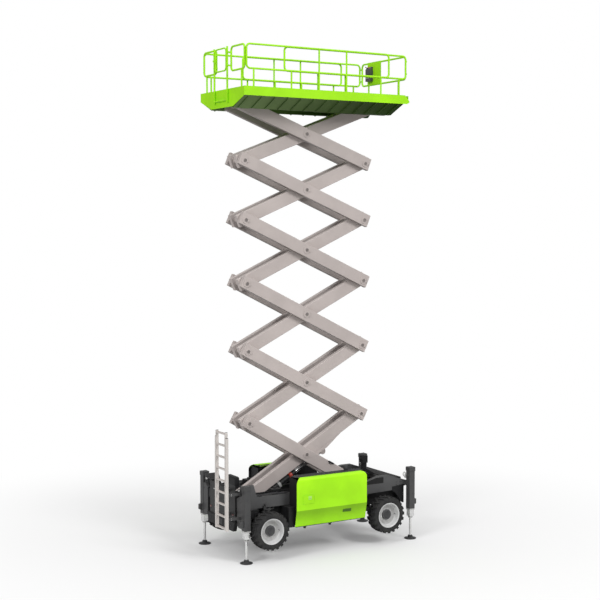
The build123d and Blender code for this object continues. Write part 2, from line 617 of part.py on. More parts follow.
# outward offset from the middle of the tyre, radius
RIM_SECTION = [(-half_rim, RIM_R + 16), (-half_rim + RIM_EDGE, RIM_R + 16), (-half_rim + RIM_EDGE, RIM_R),
               (-95, RIM_R - 8), (-60, RIM_R - 30), (10, RIM_R - 30), (45, RIM_R - 12),
               (half_rim - RIM_EDGE, RIM_R), (half_rim - RIM_EDGE, RIM_R + 16), (half_rim, RIM_R + 16),
               (half_rim, RIM_R + 6), (half_rim - 8, RIM_R - 8), (48, RIM_R - 20), (38, RIM_R - 30),
               (34, RIM_R - 52), (22, 130), (22, HUB_R), (48, HUB_R), (54, HUB_R - 7), (54, 0),
               (HUB_END + WELD_GAP, 0), (HUB_END + WELD_GAP, STUB_R + PIN_FIT), (-40, STUB_R + PIN_FIT),
               (-40, 90), (10, 110), (10, 130), (22, RIM_R - 48), (26, RIM_R - 40), (-20, RIM_R - 38),
               (-60, RIM_R - 38), (-95, RIM_R - 16), (8 - half_rim, RIM_R - 8), (-half_rim, RIM_R + 6)]
for corner, (x, side) in WHEELS.items():
    wheel_plane = Plane(origin=(x, side * WHEEL_Y, AXLE_Z), x_dir=(0, side, 0), z_dir=(side, 0, 0))
    wheel_axis = Axis((x, side * WHEEL_Y, AXLE_Z), (0, 1, 0))
    with BuildPart() as tyre:
        with BuildSketch(wheel_plane):
            with BuildLine():
                Polyline(*TYRE_SECTION, close=True)
            make_face()
        revolve(axis=wheel_axis)
    save(tyre, f"tyre_{corner}")
    with BuildPart() as rim:
        with BuildSketch(wheel_plane):
            with BuildLine():
                Polyline(*RIM_SECTION, close=True)
            make_face()
        revolve(axis=wheel_axis)
    save(rim, f"rim_{corner}")

# ================================================================ side power modules
MODULE_LOW = 700.0
MODULE_SHEET = 6.0
HINGE_Y = 838.0
HINGE_DROP = 14.0        # hinge line below the top of the cover
HINGE_R, HINGE_PIN_R = 15.0, 7.0
HINGE_LENGTH = 90.0
MODULE_BACK = RAIL_OUT + WELD_GAP
# the heavy contents of each side as one plain block: ahead of the cover's rear end, behind its front end,
# depth, top
CONTENTS = {"right": (400, 365, 190, 1400), "left": (90, 285, 200, 1330)}
FOLD_IN = COVER_Y - COVER_WALL

for hand, (cover_rear, cover_front, cover_top) in COVERS.items():
    ahead, behind, depth, top = CONTENTS[hand]
    rear, front = cover_rear + ahead, cover_front - behind
    cover_mid, cover_long = (cover_rear + cover_front) / 2, cover_front - cover_rear
    hinge_z, shoulder_z = cover_top - HINGE_DROP, cover_top - COVER_SHOULDER
    module_top = hinge_z - HINGE_R - 8
    module_rear, module_front = cover_rear + 40, cover_front - 40
    hinge_spots = [cover_rear + 160, cover_mid, cover_front - 160]
    # y and z of an end plate, kept inside the closed cover
    end_outline = [(MODULE_BACK, MODULE_LOW), (COVER_Y - COVER_TUCK - 25, MODULE_LOW),
                   (COVER_Y - 22, COVER_FOLD), (COVER_Y - 22, module_top - 90), (COVER_Y - 110, module_top),
                   (MODULE_BACK, module_top)]
    with BuildPart() as module:
        for x in (module_rear, module_front - MODULE_SHEET):
            with BuildSketch(cross_plane(x)):
                with BuildLine():
                    Polyline(*end_outline, close=True)
                make_face()
            extrude(amount=MODULE_SHEET)
        with Locations(((module_rear + module_front) / 2, MODULE_BACK, MODULE_LOW)):
            Box(module_front - module_rear, MODULE_SHEET, module_top - MODULE_LOW,
                align=(Align.CENTER, Align.MIN, Align.MIN))
            Box(module_front - module_rear, COVER_Y - COVER_TUCK - 25 - MODULE_BACK, MODULE_SHEET,
                align=(Align.CENTER, Align.MIN, Align.MIN))
        with Locations(((rear + front) / 2, MODULE_BACK, MODULE_LOW)):
            Box(front - rear, depth, top - MODULE_LOW, align=(Align.CENTER, Align.MIN, Align.MIN))
        # feet under the tray
        with Locations(*[(x, MODULE_BACK + 60, MODULE_LOW + 3) for x in (module_rear + 150, module_front - 150)]):
            Box(160, 110, 60, align=(Align.CENTER, Align.CENTER, Align.MAX))
        for x in hinge_spots:
            for dx in (-HINGE_LENGTH / 2 - 6, HINGE_LENGTH / 2 + 6):
                with Locations((x + dx, (MODULE_BACK + HINGE_Y + 12) / 2, (module_top - 60 + hinge_z + 9) / 2)):
                    Box(11, HINGE_Y + 12 - MODULE_BACK, hinge_z + 9 - module_top + 60)
            with BuildSketch(cross_plane(x - HINGE_LENGTH / 2 - 6)):
                with Locations((HINGE_Y, hinge_z)):
                    Circle(HINGE_PIN_R)
            extrude(amount=HINGE_LENGTH + 12)
        if hand == "right":
            mirror(about=Plane.XZ, mode=Mode.REPLACE)
    save(module, f"module_{hand}")
    with BuildPart() as cover:
        with BuildSketch(cross_plane(cover_rear)):
            with BuildLine():
                Polyline((HINGE_Y + 10, cover_top - COVER_WALL), (HINGE_Y + 10, cover_top),
                         (COVER_Y - COVER_SHOULDER, cover_top))
                CenterArc((COVER_Y - COVER_SHOULDER, shoulder_z), COVER_SHOULDER, 0, 90)
                Polyline((COVER_Y, shoulder_z), (COVER_Y, COVER_FOLD), (COVER_Y - COVER_TUCK, COVER_LOW),
                         (FOLD_IN - COVER_TUCK, COVER_LOW), (FOLD_IN, COVER_FOLD), (FOLD_IN, shoulder_z))
                CenterArc((COVER_Y - COVER_SHOULDER, shoulder_z), COVER_SHOULDER - COVER_WALL, 0, 90)
                Line((COVER_Y - COVER_SHOULDER, cover_top - COVER_WALL), (HINGE_Y + 10, cover_top - COVER_WALL))
            make_face()
        extrude(amount=cover_long)
        # round the upper corners as seen from the side
        with BuildSketch(side_plane(-COVER_Y - 1)):
            with Locations((cover_mid, cover_top - 400)):
                Rectangle(cover_long + 2, 800 + 2)
                RectangleRounded(cover_long, 800, COVER_CORNER, mode=Mode.SUBTRACT)
            with Locations((cover_mid, cover_top - 650)):
                Rectangle(cover_long + 4, 900, mode=Mode.SUBTRACT)
        extrude(amount=COVER_Y - HINGE_Y - 8, mode=Mode.SUBTRACT)
        # stiffening rib and lip inside the lower edge
        with Locations((cover_mid, COVER_Y - COVER_TUCK - 16, COVER_LOW)):
            Box(cover_long - 20, 30, COVER_WALL, align=(Align.CENTER, Align.CENTER, Align.MIN))
        for x in hinge_spots:
            with BuildSketch(cross_plane(x - HINGE_LENGTH / 2)):
                with Locations((HINGE_Y, hinge_z)):
                    Circle(HINGE_R)
            extrude(amount=HINGE_LENGTH)
            with BuildSketch(cross_plane(x - HINGE_LENGTH / 2)):
                with Locations((HINGE_Y, hinge_z)):
                    Circle(HINGE_PIN_R + PIN_FIT)
            extrude(amount=HINGE_LENGTH, mode=Mode.SUBTRACT)
        if hand == "right":
            mirror(about=Plane.XZ, mode=Mode.REPLACE)
    save(cover, f"cover_{hand}")

# ================================================================ front cover, rest, ladder
FRONT_HALF = RAIL_IN - WELD_GAP
FRONT_PLATE_X = 2140.0
with BuildPart() as front_cover:
    with BuildSketch(cross_plane(FRONT_PLATE_X)):
        with BuildLine():
            Polyline((-FRONT_HALF, 1340), (-FRONT_HALF, 730), (-560, 730), (-440, 990), (440, 990),
                     (560, 730), (FRONT_HALF, 730), (FRONT_HALF, 1340), close=True)
        make_face()
    extrude(amount=12)
    with BuildSketch(side_plane(-FRONT_HALF)):
        with BuildLine():
            Polyline((1895, RAIL_TOP + WELD_GAP), (1895, 1322), (1960, 1352), (2120, 1348), (2152, 1328),
                     (2152, 1300), (2140, 1300), (2140, RAIL_TOP + WELD_GAP), close=True)
        make_face()
    extrude(amount=2 * FRONT_HALF)
save(front_cover, "front_cover")

REST_X = 1611.0
REST_LOW, REST_TOP = 1600.0, 1760.0
REST_FOOT = [(HIGH_BEAM_X - 30, RAIL_TOP + WELD_GAP), (HIGH_BEAM_X + 30, RAIL_TOP + WELD_GAP),
             (HIGH_BEAM_X + 30, 1330), (REST_X + 40, 1470), (REST_X + 40, REST_LOW + 10),
             (REST_X - 40, REST_LOW + 10), (REST_X - 40, 1440)]
with BuildPart() as stack_rest:
    with BuildSketch(side_plane(-45)):
        with BuildLine():
            Polyline(*REST_FOOT, close=True)
        make_face()
    extrude(amount=90)
    with Locations((REST_X, 0, (REST_LOW + REST_TOP) / 2)):
        Box(150, 140, REST_TOP - REST_LOW)
    fillet(stack_rest.edges().filter_by(Axis.Z).group_by(Axis.Z)[-1], 12)
    # saddle for the stowed stack and two round openings that lighten the block
    with BuildSketch(cross_plane(REST_X - 80)):
        with Locations((0, REST_TOP)):
            RectangleRounded(44, 90, 16)
    extrude(amount=160, mode=Mode.SUBTRACT)
    with Locations((REST_X, 42, REST_LOW + 50), (REST_X, -42, REST_LOW + 50)):
        Cylinder(18, 160, rotation=(0, 90, 0), mode=Mode.SUBTRACT)
save(stack_rest, "stack_rest")

LADDER_X = -2285.0
LADDER_Y = -620.0
LADDER_PITCH = 244.5
RUNG_LOW = 730.0
# distance of a stile from the ladder's middle, its thickness, its top
STILES = [(200, 26, 2720), (229, 34, 2600)]
with BuildPart() as ladder:
    for offset_y, thick, top in STILES:
        for side in (-1, 1):
            with BuildSketch(side_plane(-LADDER_Y - side * offset_y - thick / 2)):
                with Locations((LADDER_X, (690 + top) / 2)):
                    RectangleRounded(60, top - 690, 14)
            extrude(amount=thick)
    with Locations(*[(LADDER_X, LADDER_Y, RUNG_LOW + LADDER_PITCH * i) for i in range(9)]):
        Box(46, 2 * 200 - 26 + 2, 30)
    reach = END_FACE - END_PLATE - WELD_GAP - LADDER_X
    for z in (930, 1430):
        with Locations((LADDER_X + reach / 2, LADDER_Y - 230, z), (LADDER_X + reach / 2, LADDER_Y + 230, z)):
            Box(reach, 14, 60)
save(ladder, "ladder")

# ================================================================ lift cylinder
run, rise = CYL_EYE[0] - CYL_BASE[0], CYL_EYE[1] - CYL_BASE[1]
cyl_length = (run ** 2 + rise ** 2) ** 0.5
along = Plane(origin=(CYL_BASE[0], 0, CYL_BASE[1]), x_dir=(0, 1, 0), z_dir=(run, 0, rise))

with BuildPart() as lift_barrel:
    with BuildSketch(along.offset(80)):
        Circle(BARREL_R)
    extrude(amount=BARREL_LENGTH - 80)
    chamfer(lift_barrel.edges().filter_by(GeomType.CIRCLE), 5)
    with BuildSketch(along.offset(BARREL_LENGTH - 95)):
        Circle(BARREL_R + 9)
    extrude(amount=70)
    # oil ports
    for at in (150, BARREL_LENGTH - 60):
        with BuildSketch(along.offset(at)):
            with Locations((BARREL_R, 0)):
                Rectangle(40, 34)
        extrude(amount=34)
    with BuildSketch(along.offset(110)):
        Circle(BARREL_BORE)
    extrude(amount=BARREL_LENGTH - 110 - 60, mode=Mode.SUBTRACT)
    with BuildSketch(along.offset(BARREL_LENGTH - 70)):
        Circle(ROD_RADIUS + PIN_FIT)
    extrude(amount=80, mode=Mode.SUBTRACT)
    with BuildSketch(side_plane(-EYE_HALF)):
        with Locations(CYL_BASE):
            Circle(EYE_R)
    extrude(amount=2 * EYE_HALF)
    with BuildSketch(along):
        Rectangle(2 * EYE_HALF, 90)
    extrude(amount=90)
    with BuildSketch(side_plane(-EYE_HALF)):
        with Locations(CYL_BASE):
            Circle(CYL_PIN_R + PIN_FIT)
    extrude(amount=2 * EYE_HALF, mode=Mode.SUBTRACT)
save(lift_barrel, "lift_barrel")

with BuildPart() as lift_rod:
    with BuildSketch(along.offset(360)):
        Circle(ROD_RADIUS)
    extrude(amount=cyl_length - 360 - 40)
    with BuildSketch(along.offset(330)):
        Circle(BARREL_BORE - PIN_FIT)
    extrude(amount=50)
    with BuildSketch(side_plane(-EYE_HALF)):
        with Locations(CYL_EYE):
            Circle(EYE_R - 6)
    extrude(amount=2 * EYE_HALF)
save(lift_rod, "lift_rod")

# ================================================================ platform
DECK_MID = (DECK_REAR + DECK_FRONT) / 2
DECK_LONG = DECK_FRONT - DECK_REAR
DECK_TRACK_REAR, DECK_TRACK_FRONT = MAST_X + 150, MAST_X + HALF + 343
NOSE_RISE = 66.0         # underside of the underframe's ends below the floor
RIB_SPOTS = [-1830, -1520, -1210, -900, -590, -280, 30, 340, 650, 960, 1270, 1580, 1850]
SIDE_IN = DECK_HALF - SKIRT_WALL - WELD_GAP
NOSE_X = DECK_FRONT - 150                # the underframe's front corner is cut off from here

with BuildPart() as deck_frame:
    with BuildSketch(side_plane(-WEB_OUT)):
        with BuildLine():
            Polyline((DECK_REAR + 20, FLOOR_LOW), (DECK_FRONT - 20, FLOOR_LOW), (DECK_FRONT - 20, FLOOR_LOW - NOSE_RISE),
                     (NOSE_X, DECK_LOW), (DECK_REAR + 20, DECK_LOW), close=True)
        make_face()
    extrude(amount=WEB_OUT - WEB_IN)
    for low in (DECK_PIN_Z - ROLLER_R - TRACK_GAP - TRACK_WALL, DECK_PIN_Z + ROLLER_R + TRACK_GAP):
        with BuildSketch(Plane.XY.offset(low)):
            with Locations(((DECK_TRACK_REAR + DECK_TRACK_FRONT) / 2, (TRACK_IN + WEB_IN) / 2)):
                Rectangle(DECK_TRACK_FRONT - DECK_TRACK_REAR, WEB_IN - TRACK_IN)
        extrude(amount=TRACK_WALL)
    with Locations((DECK_PIN_X, (DECK_LUG_IN + WEB_IN) / 2, (DECK_PIN_Z - 75 + FLOOR_LOW) / 2)):
        Box(180, WEB_IN - DECK_LUG_IN, FLOOR_LOW - DECK_PIN_Z + 75)
    with BuildSketch(side_plane(-WEB_IN)):
        with Locations((DECK_PIN_X, DECK_PIN_Z)):
            Circle(PIN_R + PIN_FIT)
    extrude(amount=WEB_IN - DECK_LUG_IN + 1, mode=Mode.SUBTRACT)
    # sloping side panel with its lower flange
    with BuildSketch(cross_plane(DECK_REAR + SKIRT_WALL + WELD_GAP)):
        with BuildLine():
            Polyline((WEB_OUT - 2, DECK_LOW), (DECK_KEEL, DECK_LOW), (SIDE_IN, SKIRT_LOW), (SIDE_IN, FLOOR_LOW),
                     (SIDE_IN - 6, FLOOR_LOW), (SIDE_IN - 6, SKIRT_LOW + 4), (DECK_KEEL - 2, DECK_LOW + 6),
                     (WEB_OUT - 2, DECK_LOW + 6), close=True)
        make_face()
    extrude(amount=NOSE_X - DECK_REAR - SKIRT_WALL)
    # outside ribs on the sloping panel
    for x in RIB_SPOTS:
        with BuildSketch(cross_plane(x)):
            with BuildLine():
                Polyline((DECK_KEEL - 10, DECK_LOW + 3), (DECK_KEEL + 40, DECK_LOW - 12),
                         (SIDE_IN, SKIRT_LOW - 30), (SIDE_IN, SKIRT_LOW + 20), close=True)
            make_face()
        extrude(amount=10)
    mirror(about=Plane.XZ)
    with Locations(*[(x, 0, FLOOR_LOW - 86) for x in (DECK_REAR + 60, NOSE_X - 30)]):
        Box(40, 2 * WEB_IN, 60)
save(deck_frame, "deck_frame")

with BuildPart() as deck:
    with BuildSketch(Plane.XY.offset(FLOOR_LOW + WELD_GAP)):
        with Locations((DECK_MID, 0)):
            Rectangle(DECK_LONG, 2 * DECK_HALF)
    extrude(amount=FLOOR_TOP - FLOOR_LOW - WELD_GAP)
    for side in (DECK_HALF - SKIRT_WALL, -DECK_HALF):
        with BuildSketch(side_plane(side)):
            with BuildLine():
                Polyline((DECK_REAR, SKIRT_LOW), (DECK_FRONT - 60, SKIRT_LOW), (DECK_FRONT, SKIRT_LOW + 40),
                         (DECK_FRONT, FLOOR_TOP + 30), (DECK_FRONT - 110, SKIRT_TOP), (DECK_REAR, SKIRT_TOP),
                         close=True)
            make_face()
        extrude(amount=SKIRT_WALL)
    with BuildSketch(cross_plane(DECK_REAR)):
        with BuildLine():
            Polyline((-DECK_HALF, SKIRT_TOP), (-DECK_HALF, SKIRT_LOW), (-DECK_KEEL, DECK_LOW + 20),
                     (DECK_KEEL, DECK_LOW + 20), (DECK_HALF, SKIRT_LOW), (DECK_HALF, SKIRT_TOP), close=True)
        make_face()
    extrude(amount=SKIRT_WALL)
save(deck, "deck")


def rail_loop(plane, corners, radius):
    """Closed loop of bent tube through corner points drawn on a plane."""
    with BuildPart() as loop:
        with BuildLine(plane) as centre_line:
            FilletPolyline(*corners, radius=RAIL_BEND, close=True)
        start = centre_line.edges().filter_by(GeomType.LINE).sort_by(SortBy.LENGTH)[-1]
        with BuildSketch(Plane(origin=start @ 0, z_dir=start % 0)):
            Circle(radius)
        sweep(path=centre_line.wires()[0])
    return loop


def box_corners(low_a, high_a, low_b, high_b):
    """Four corners of a rectangle, in order."""
    return [(low_a, low_b), (high_a, low_b), (high_a, high_b), (low_a, high_b)]


POST_LOW = FLOOR_TOP + WELD_GAP
POST_LONG = TOP_RAIL - POST_LOW
FULL_POSTS, SHORT_LEGS = [-148, 528], [-1695, -813, 1400]
GATE_R = 16.0
ENTRY_Y = 288.0
ENTRY_X = DECK_REAR - RAIL_R - WELD_GAP
ENTRY_LOW = FLOOR_LOW - 116
side_box = box_corners(SIDE_RAIL_REAR, SIDE_RAIL_FRONT, LOW_RAIL, TOP_RAIL)
side_loops = {side: rail_loop(side_plane(side * RAIL_Y), side_box, RAIL_R) for side in (-1, 1)}
REAR_LOOP_IN, REAR_LOOP_OUT = 330.0, RAIL_Y - 2 * RAIL_R - 4
rear_boxes = {side: box_corners(*sorted((side * REAR_LOOP_IN, side * REAR_LOOP_OUT)), LOW_RAIL, TOP_RAIL)
              for side in (-1, 1)}
rear_loops = {side: rail_loop(cross_plane(REAR_RAIL_X), rear_boxes[side], RAIL_R) for side in (-1, 1)}

with BuildPart() as guard_rails:
    for side in (-1, 1):
        add(side_loops[side].part)
        add(rear_loops[side].part)
        # full-height posts, then the short legs below the loops
        with Locations(*[(x, side * RAIL_Y, POST_LOW) for x in FULL_POSTS]):
            Cylinder(LEG_R, POST_LONG, align=(Align.CENTER, Align.CENTER, Align.MIN))
        with Locations(*[(x, side * RAIL_Y, POST_LOW) for x in SHORT_LEGS]):
            Cylinder(LEG_R, LOW_RAIL - POST_LOW, align=(Align.CENTER, Align.CENTER, Align.MIN))
        with Locations((REAR_RAIL_X, side * 780, POST_LOW)):
            Cylinder(LEG_R, LOW_RAIL - POST_LOW, align=(Align.CENTER, Align.CENTER, Align.MIN))
        # entry post outside the rear plate, tied to the rear loop
        with Locations((ENTRY_X, side * ENTRY_Y, ENTRY_LOW)):
            Cylinder(RAIL_R, TOP_RAIL + 13 - ENTRY_LOW, align=(Align.CENTER, Align.CENTER, Align.MIN))
        for z in (LOW_RAIL + 110, TOP_RAIL - 110):
            with Locations(((ENTRY_X + REAR_RAIL_X) / 2, side * (ENTRY_Y + REAR_LOOP_IN) / 2, z)):
                Box(ENTRY_X * -1 + REAR_RAIL_X + 10, 44, 30)
    with Locations((ENTRY_X, 0, ENTRY_LOW + 50)):
        Cylinder(RAIL_R - 2, 2 * ENTRY_Y, rotation=(90, 0, 0))
save(guard_rails, "guard_rails")

GATE_HALF = 238.0
GATE_LOW, GATE_TOP = LOW_RAIL + 16, TOP_RAIL - 12
GATE_PIN_R = 8.0
GATE_PIN_Y = ENTRY_Y - RAIL_R - GATE_PIN_R - 0.5
gate_loop = rail_loop(cross_plane(ENTRY_X), box_corners(-GATE_HALF, GATE_HALF, GATE_LOW, GATE_TOP), GATE_R)
with BuildPart() as gate:
    add(gate_loop.part)
    with Locations((ENTRY_X, -GATE_PIN_Y, GATE_LOW + 110), (ENTRY_X, -GATE_PIN_Y, GATE_TOP - 110)):
        Cylinder(GATE_PIN_R, 60)
        Box(12, 2 * (GATE_PIN_Y - GATE_HALF), 50, align=(Align.CENTER, Align.MIN, Align.CENTER))
save(gate, "gate")

with BuildPart() as extension_deck:
    with BuildSketch(Plane.XY.offset(EXT_LOW)):
        with Locations(((EXT_REAR + EXT_FRONT) / 2, 0)):
            Rectangle(EXT_FRONT - EXT_REAR, 2 * EXT_HALF)
    extrude(amount=EXT_TOP - EXT_LOW)
    with BuildSketch(cross_plane(EXT_FRONT - SKIRT_WALL)):
        with Locations((0, (EXT_LOW + SKIRT_TOP) / 2)):
            RectangleRounded(2 * EXT_HALF, SKIRT_TOP - EXT_LOW, 12)
    extrude(amount=SKIRT_WALL)
    # wear strips on the main floor
    with BuildSketch(Plane.XY.offset(POST_LOW)):
        with Locations(((EXT_REAR + EXT_FRONT) / 2, EXT_HALF - 60), ((EXT_REAR + EXT_FRONT) / 2, -EXT_HALF + 60)):
            Rectangle(EXT_FRONT - EXT_REAR - 20, 40)
    extrude(amount=EXT_LOW - POST_LOW + 1)
save(extension_deck, "extension_deck")

EXT_RAIL_REAR, EXT_RAIL_FRONT = EXT_REAR + 18, EXT_FRONT - 62
FRONT_LOOP_X = EXT_FRONT - SKIRT_WALL - RAIL_R - 1
FRONT_LOOP_HALF = EXT_RAIL_Y - 50
TIE_END = FRONT_LOOP_HALF + RAIL_R + WELD_GAP
ext_box = box_corners(EXT_RAIL_REAR, EXT_RAIL_FRONT, LOW_RAIL, TOP_RAIL)
ext_loops = {side: rail_loop(side_plane(side * EXT_RAIL_Y), ext_box, RAIL_R) for side in (-1, 1)}
front_box = box_corners(-FRONT_LOOP_HALF, FRONT_LOOP_HALF, LOW_RAIL, TOP_RAIL)
front_loop = rail_loop(cross_plane(FRONT_LOOP_X), front_box, RAIL_R)
LEG_FOOT = EXT_TOP + WELD_GAP
with BuildPart() as extension_rails:
    for side in (-1, 1):
        add(ext_loops[side].part)
        with Locations(*[(x, side * EXT_RAIL_Y, LEG_FOOT) for x in (*FULL_POSTS, 1904)]):
            Cylinder(LEG_R, LOW_RAIL - LEG_FOOT, align=(Align.CENTER, Align.CENTER, Align.MIN))
        with Locations((FRONT_LOOP_X, side * 580, LEG_FOOT)):
            Cylinder(LEG_R, LOW_RAIL - LEG_FOOT, align=(Align.CENTER, Align.CENTER, Align.MIN))
        # ties welded to the side loops, against the front loop
        for z in (LOW_RAIL + 110, TOP_RAIL - 110):
            with Locations(((EXT_RAIL_FRONT + FRONT_LOOP_X) / 2, side * (EXT_RAIL_Y + TIE_END) / 2, z)):
                Box(FRONT_LOOP_X - EXT_RAIL_FRONT + 8, EXT_RAIL_Y - TIE_END, 30)
    add(front_loop.part)
save(extension_rails, "extension_rails")

PANEL_X = FRONT_LOOP_X - RAIL_R - WELD_GAP
PANEL_TOP = TOP_RAIL + 18
BOX_FACE = PANEL_X - 4 - WELD_GAP
BOX_LOW, BOX_TOP, BOX_DEEP = LOW_RAIL + 72, LOW_RAIL + 400, 90.0
BOX_RIGHT_Y, BOX_WIDE = 377.0, 173.0
BOX_WAIST = LOW_RAIL + 209       # groove between the lower and the upper half
with BuildPart() as control_panel:
    with BuildSketch(cross_plane(PANEL_X - 4)):
        with Locations((330, (LOW_RAIL + PANEL_TOP) / 2)):
            RectangleRounded(540, PANEL_TOP - LOW_RAIL, 18)
    extrude(amount=4)
save(control_panel, "control_panel")

with BuildPart() as control_box:
    with BuildSketch(side_plane(-BOX_RIGHT_Y - BOX_WIDE)):
        with BuildLine():
            Polyline((BOX_FACE, BOX_LOW), (BOX_FACE, BOX_TOP), (BOX_FACE - BOX_DEEP + 60, BOX_TOP),
                     (BOX_FACE - BOX_DEEP, BOX_TOP - 55), (BOX_FACE - BOX_DEEP, BOX_WAIST + 12),
                     (BOX_FACE - BOX_DEEP + 14, BOX_WAIST + 12), (BOX_FACE - BOX_DEEP + 14, BOX_WAIST - 12),
                     (BOX_FACE - BOX_DEEP, BOX_WAIST - 12), (BOX_FACE - BOX_DEEP, BOX_LOW), close=True)
        make_face()
    extrude(amount=BOX_WIDE)
    fillet(control_box.edges().filter_by(Axis.X), 18)
save(control_box, "control_box")
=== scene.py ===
"""Looks of a rough-terrain scissor lift: paint, tyres, fittings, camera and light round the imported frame."""
import json
from math import cos, radians, sin, tau

import bmesh
import bpy
from mathutils import Matrix, Vector


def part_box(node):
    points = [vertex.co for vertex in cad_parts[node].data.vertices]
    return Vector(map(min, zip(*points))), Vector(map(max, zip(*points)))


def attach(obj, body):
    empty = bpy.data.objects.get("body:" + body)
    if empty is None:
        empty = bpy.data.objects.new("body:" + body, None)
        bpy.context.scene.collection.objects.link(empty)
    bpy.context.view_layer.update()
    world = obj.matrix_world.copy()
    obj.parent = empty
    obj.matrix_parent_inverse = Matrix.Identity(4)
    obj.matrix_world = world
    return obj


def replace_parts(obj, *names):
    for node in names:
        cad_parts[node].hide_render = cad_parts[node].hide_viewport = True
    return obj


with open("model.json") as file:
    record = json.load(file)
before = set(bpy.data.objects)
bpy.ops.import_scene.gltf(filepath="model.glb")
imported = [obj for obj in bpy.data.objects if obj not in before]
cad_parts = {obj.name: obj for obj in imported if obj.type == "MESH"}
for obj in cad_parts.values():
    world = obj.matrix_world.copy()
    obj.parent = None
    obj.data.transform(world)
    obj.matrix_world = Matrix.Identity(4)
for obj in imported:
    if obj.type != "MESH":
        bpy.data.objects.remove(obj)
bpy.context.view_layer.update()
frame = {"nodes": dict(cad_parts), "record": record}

joints = {entry["name"]: entry for entry in frame["record"]["behaviour"]["joints"]}


def pin(joint):
    """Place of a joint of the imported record."""
    return Vector(joints[joint]["pos_m"])


# -------- shader values
class Tone:
    """A shader socket. Arithmetic adds Math nodes; numbers stay numbers until they meet a socket."""

    def __init__(self, finish, socket):
        self.finish, self.socket = finish, socket

    def math(self, operation, *values):
        return self.finish.node("ShaderNodeMath", {"operation": operation}, dict(enumerate(values)))

    def __add__(self, other):
        return self.math("ADD", self, other)

    def __radd__(self, other):
        return self.math("ADD", other, self)

    def __sub__(self, other):
        return self.math("SUBTRACT", self, other)

    def __rsub__(self, other):
        return self.math("SUBTRACT", other, self)

    def __mul__(self, other):
        return self.math("MULTIPLY", self, other)

    def __rmul__(self, other):
        return self.math("MULTIPLY", other, self)

    def __truediv__(self, other):
        return self.math("DIVIDE", self, other)

    def __rtruediv__(self, other):
        return self.math("DIVIDE", other, self)

    def __pow__(self, other):
        return self.math("POWER", self, other)

    def __abs__(self):
        return self.math("ABSOLUTE", self)

    def __gt__(self, other):
        return self.math("GREATER_THAN", self, other)

    def __lt__(self, other):
        return self.math("LESS_THAN", self, other)

    def ramp(self, low, high):
        """0 below low, 1 above high, smooth between."""
        return self.finish.node("ShaderNodeMapRange", {"interpolation_type": "SMOOTHSTEP"},
                                {"Value": self, "From Min": low, "From Max": high})


class Finish:
    """A material with one Principled surface, and the methods that add its nodes."""

    def __init__(self, name):
        self.material = bpy.data.materials.new(name)
        self.material.use_nodes = True
        self.tree = self.material.node_tree
        self.tree.nodes.clear()
        output = self.tree.nodes.new("ShaderNodeOutputMaterial")
        self.surface = self.tree.nodes.new("ShaderNodeBsdfPrincipled")
        self.tree.links.new(self.surface.outputs[0], output.inputs["Surface"])
        self.place = self.node("ShaderNodeTexCoord", out="Object")

    def feed(self, socket, value):
        if isinstance(value, Tone):
            self.tree.links.new(value.socket, socket)
        elif value is not None:
            if isinstance(value, tuple) and len(value) < len(socket.default_value):
                value = (*value, 1.0)
            socket.default_value = value

    def node(self, kind, settings=None, sockets=None, out=0):
        made = self.tree.nodes.new(kind)
        for key, value in (settings or {}).items():
            setattr(made, key, value)
        for key, value in (sockets or {}).items():
            self.feed(made.inputs[key], value)
        return None if out is None else Tone(self, made.outputs[out])

    def noise(self, scale, detail=3.0, roughness=0.55, stretch=None):
        """Fractal noise of a size given as lumps per metre."""
        where = self.place
        if stretch:
            where = self.node("ShaderNodeVectorMath", {"operation": "MULTIPLY"}, {0: where, 1: stretch})
        return self.node("ShaderNodeTexNoise", None,
                         {"Vector": where, "Scale": scale, "Detail": detail, "Roughness": roughness})

    def axes(self, vector=None):
        """The three parts of a vector, by default of the place."""
        split = self.node("ShaderNodeSeparateXYZ", None, {0: vector or self.place})
        outputs = split.socket.node.outputs
        return [Tone(self, outputs[axis]) for axis in range(3)]

    def normal(self):
        return self.node("ShaderNodeNewGeometry", out="Normal")

    def blend(self, factor, first, second):
        """A colour between two colours."""
        return self.node("ShaderNodeMix", {"data_type": "RGBA"}, {0: factor, 6: first, 7: second}, out=2)

    def edges(self, radius):
        """Rounded normal of an edge and how strongly an edge shows, 0 on flats."""
        rounded = self.node("ShaderNodeBevel", {"samples": 4}, {"Radius": radius})
        alike = self.node("ShaderNodeVectorMath", {"operation": "DOT_PRODUCT"},
                          {0: rounded, 1: self.normal()}, out="Value")
        return rounded, (1.0 - alike).ramp(0.02, 0.22)

    def bump(self, height, strength, distance, normal=None):
        return self.node("ShaderNodeBump", None, {"Strength": strength, "Distance": distance,
                                                  "Height": height, "Normal": normal})

    def set(self, **sockets):
        for key, value in sockets.items():
            self.feed(self.surface.inputs[key.replace("_", " ")], value)
        return self.material


class Sky(Finish):
    """The world's nodes, built with the same methods; its place is a direction."""

    def __init__(self, world):
        world.use_nodes = True
        self.tree = world.node_tree
        self.tree.nodes.clear()
        self.place = self.node("ShaderNodeTexCoord", out="Generated")


class Spot:
    """Where on the machine a finish is: its place x, y, z and its normal nx, ny, nz, as shader values."""

    def __init__(self, finish):
        self.x, self.y, self.z = finish.axes()
        self.nx, self.ny, self.nz = finish.axes(finish.normal())

    def inward(self):
        """Faces that look at the machine's middle plane."""
        return (self.ny * (1.0 - 2.0 * (self.y > 0.0))) > 0.4

    def on_rail(self):
        """Outer faces of the chassis side rails."""
        return (abs(self.ny) > 0.6) * (abs(abs(self.y) - RAIL_Y) < 0.006)


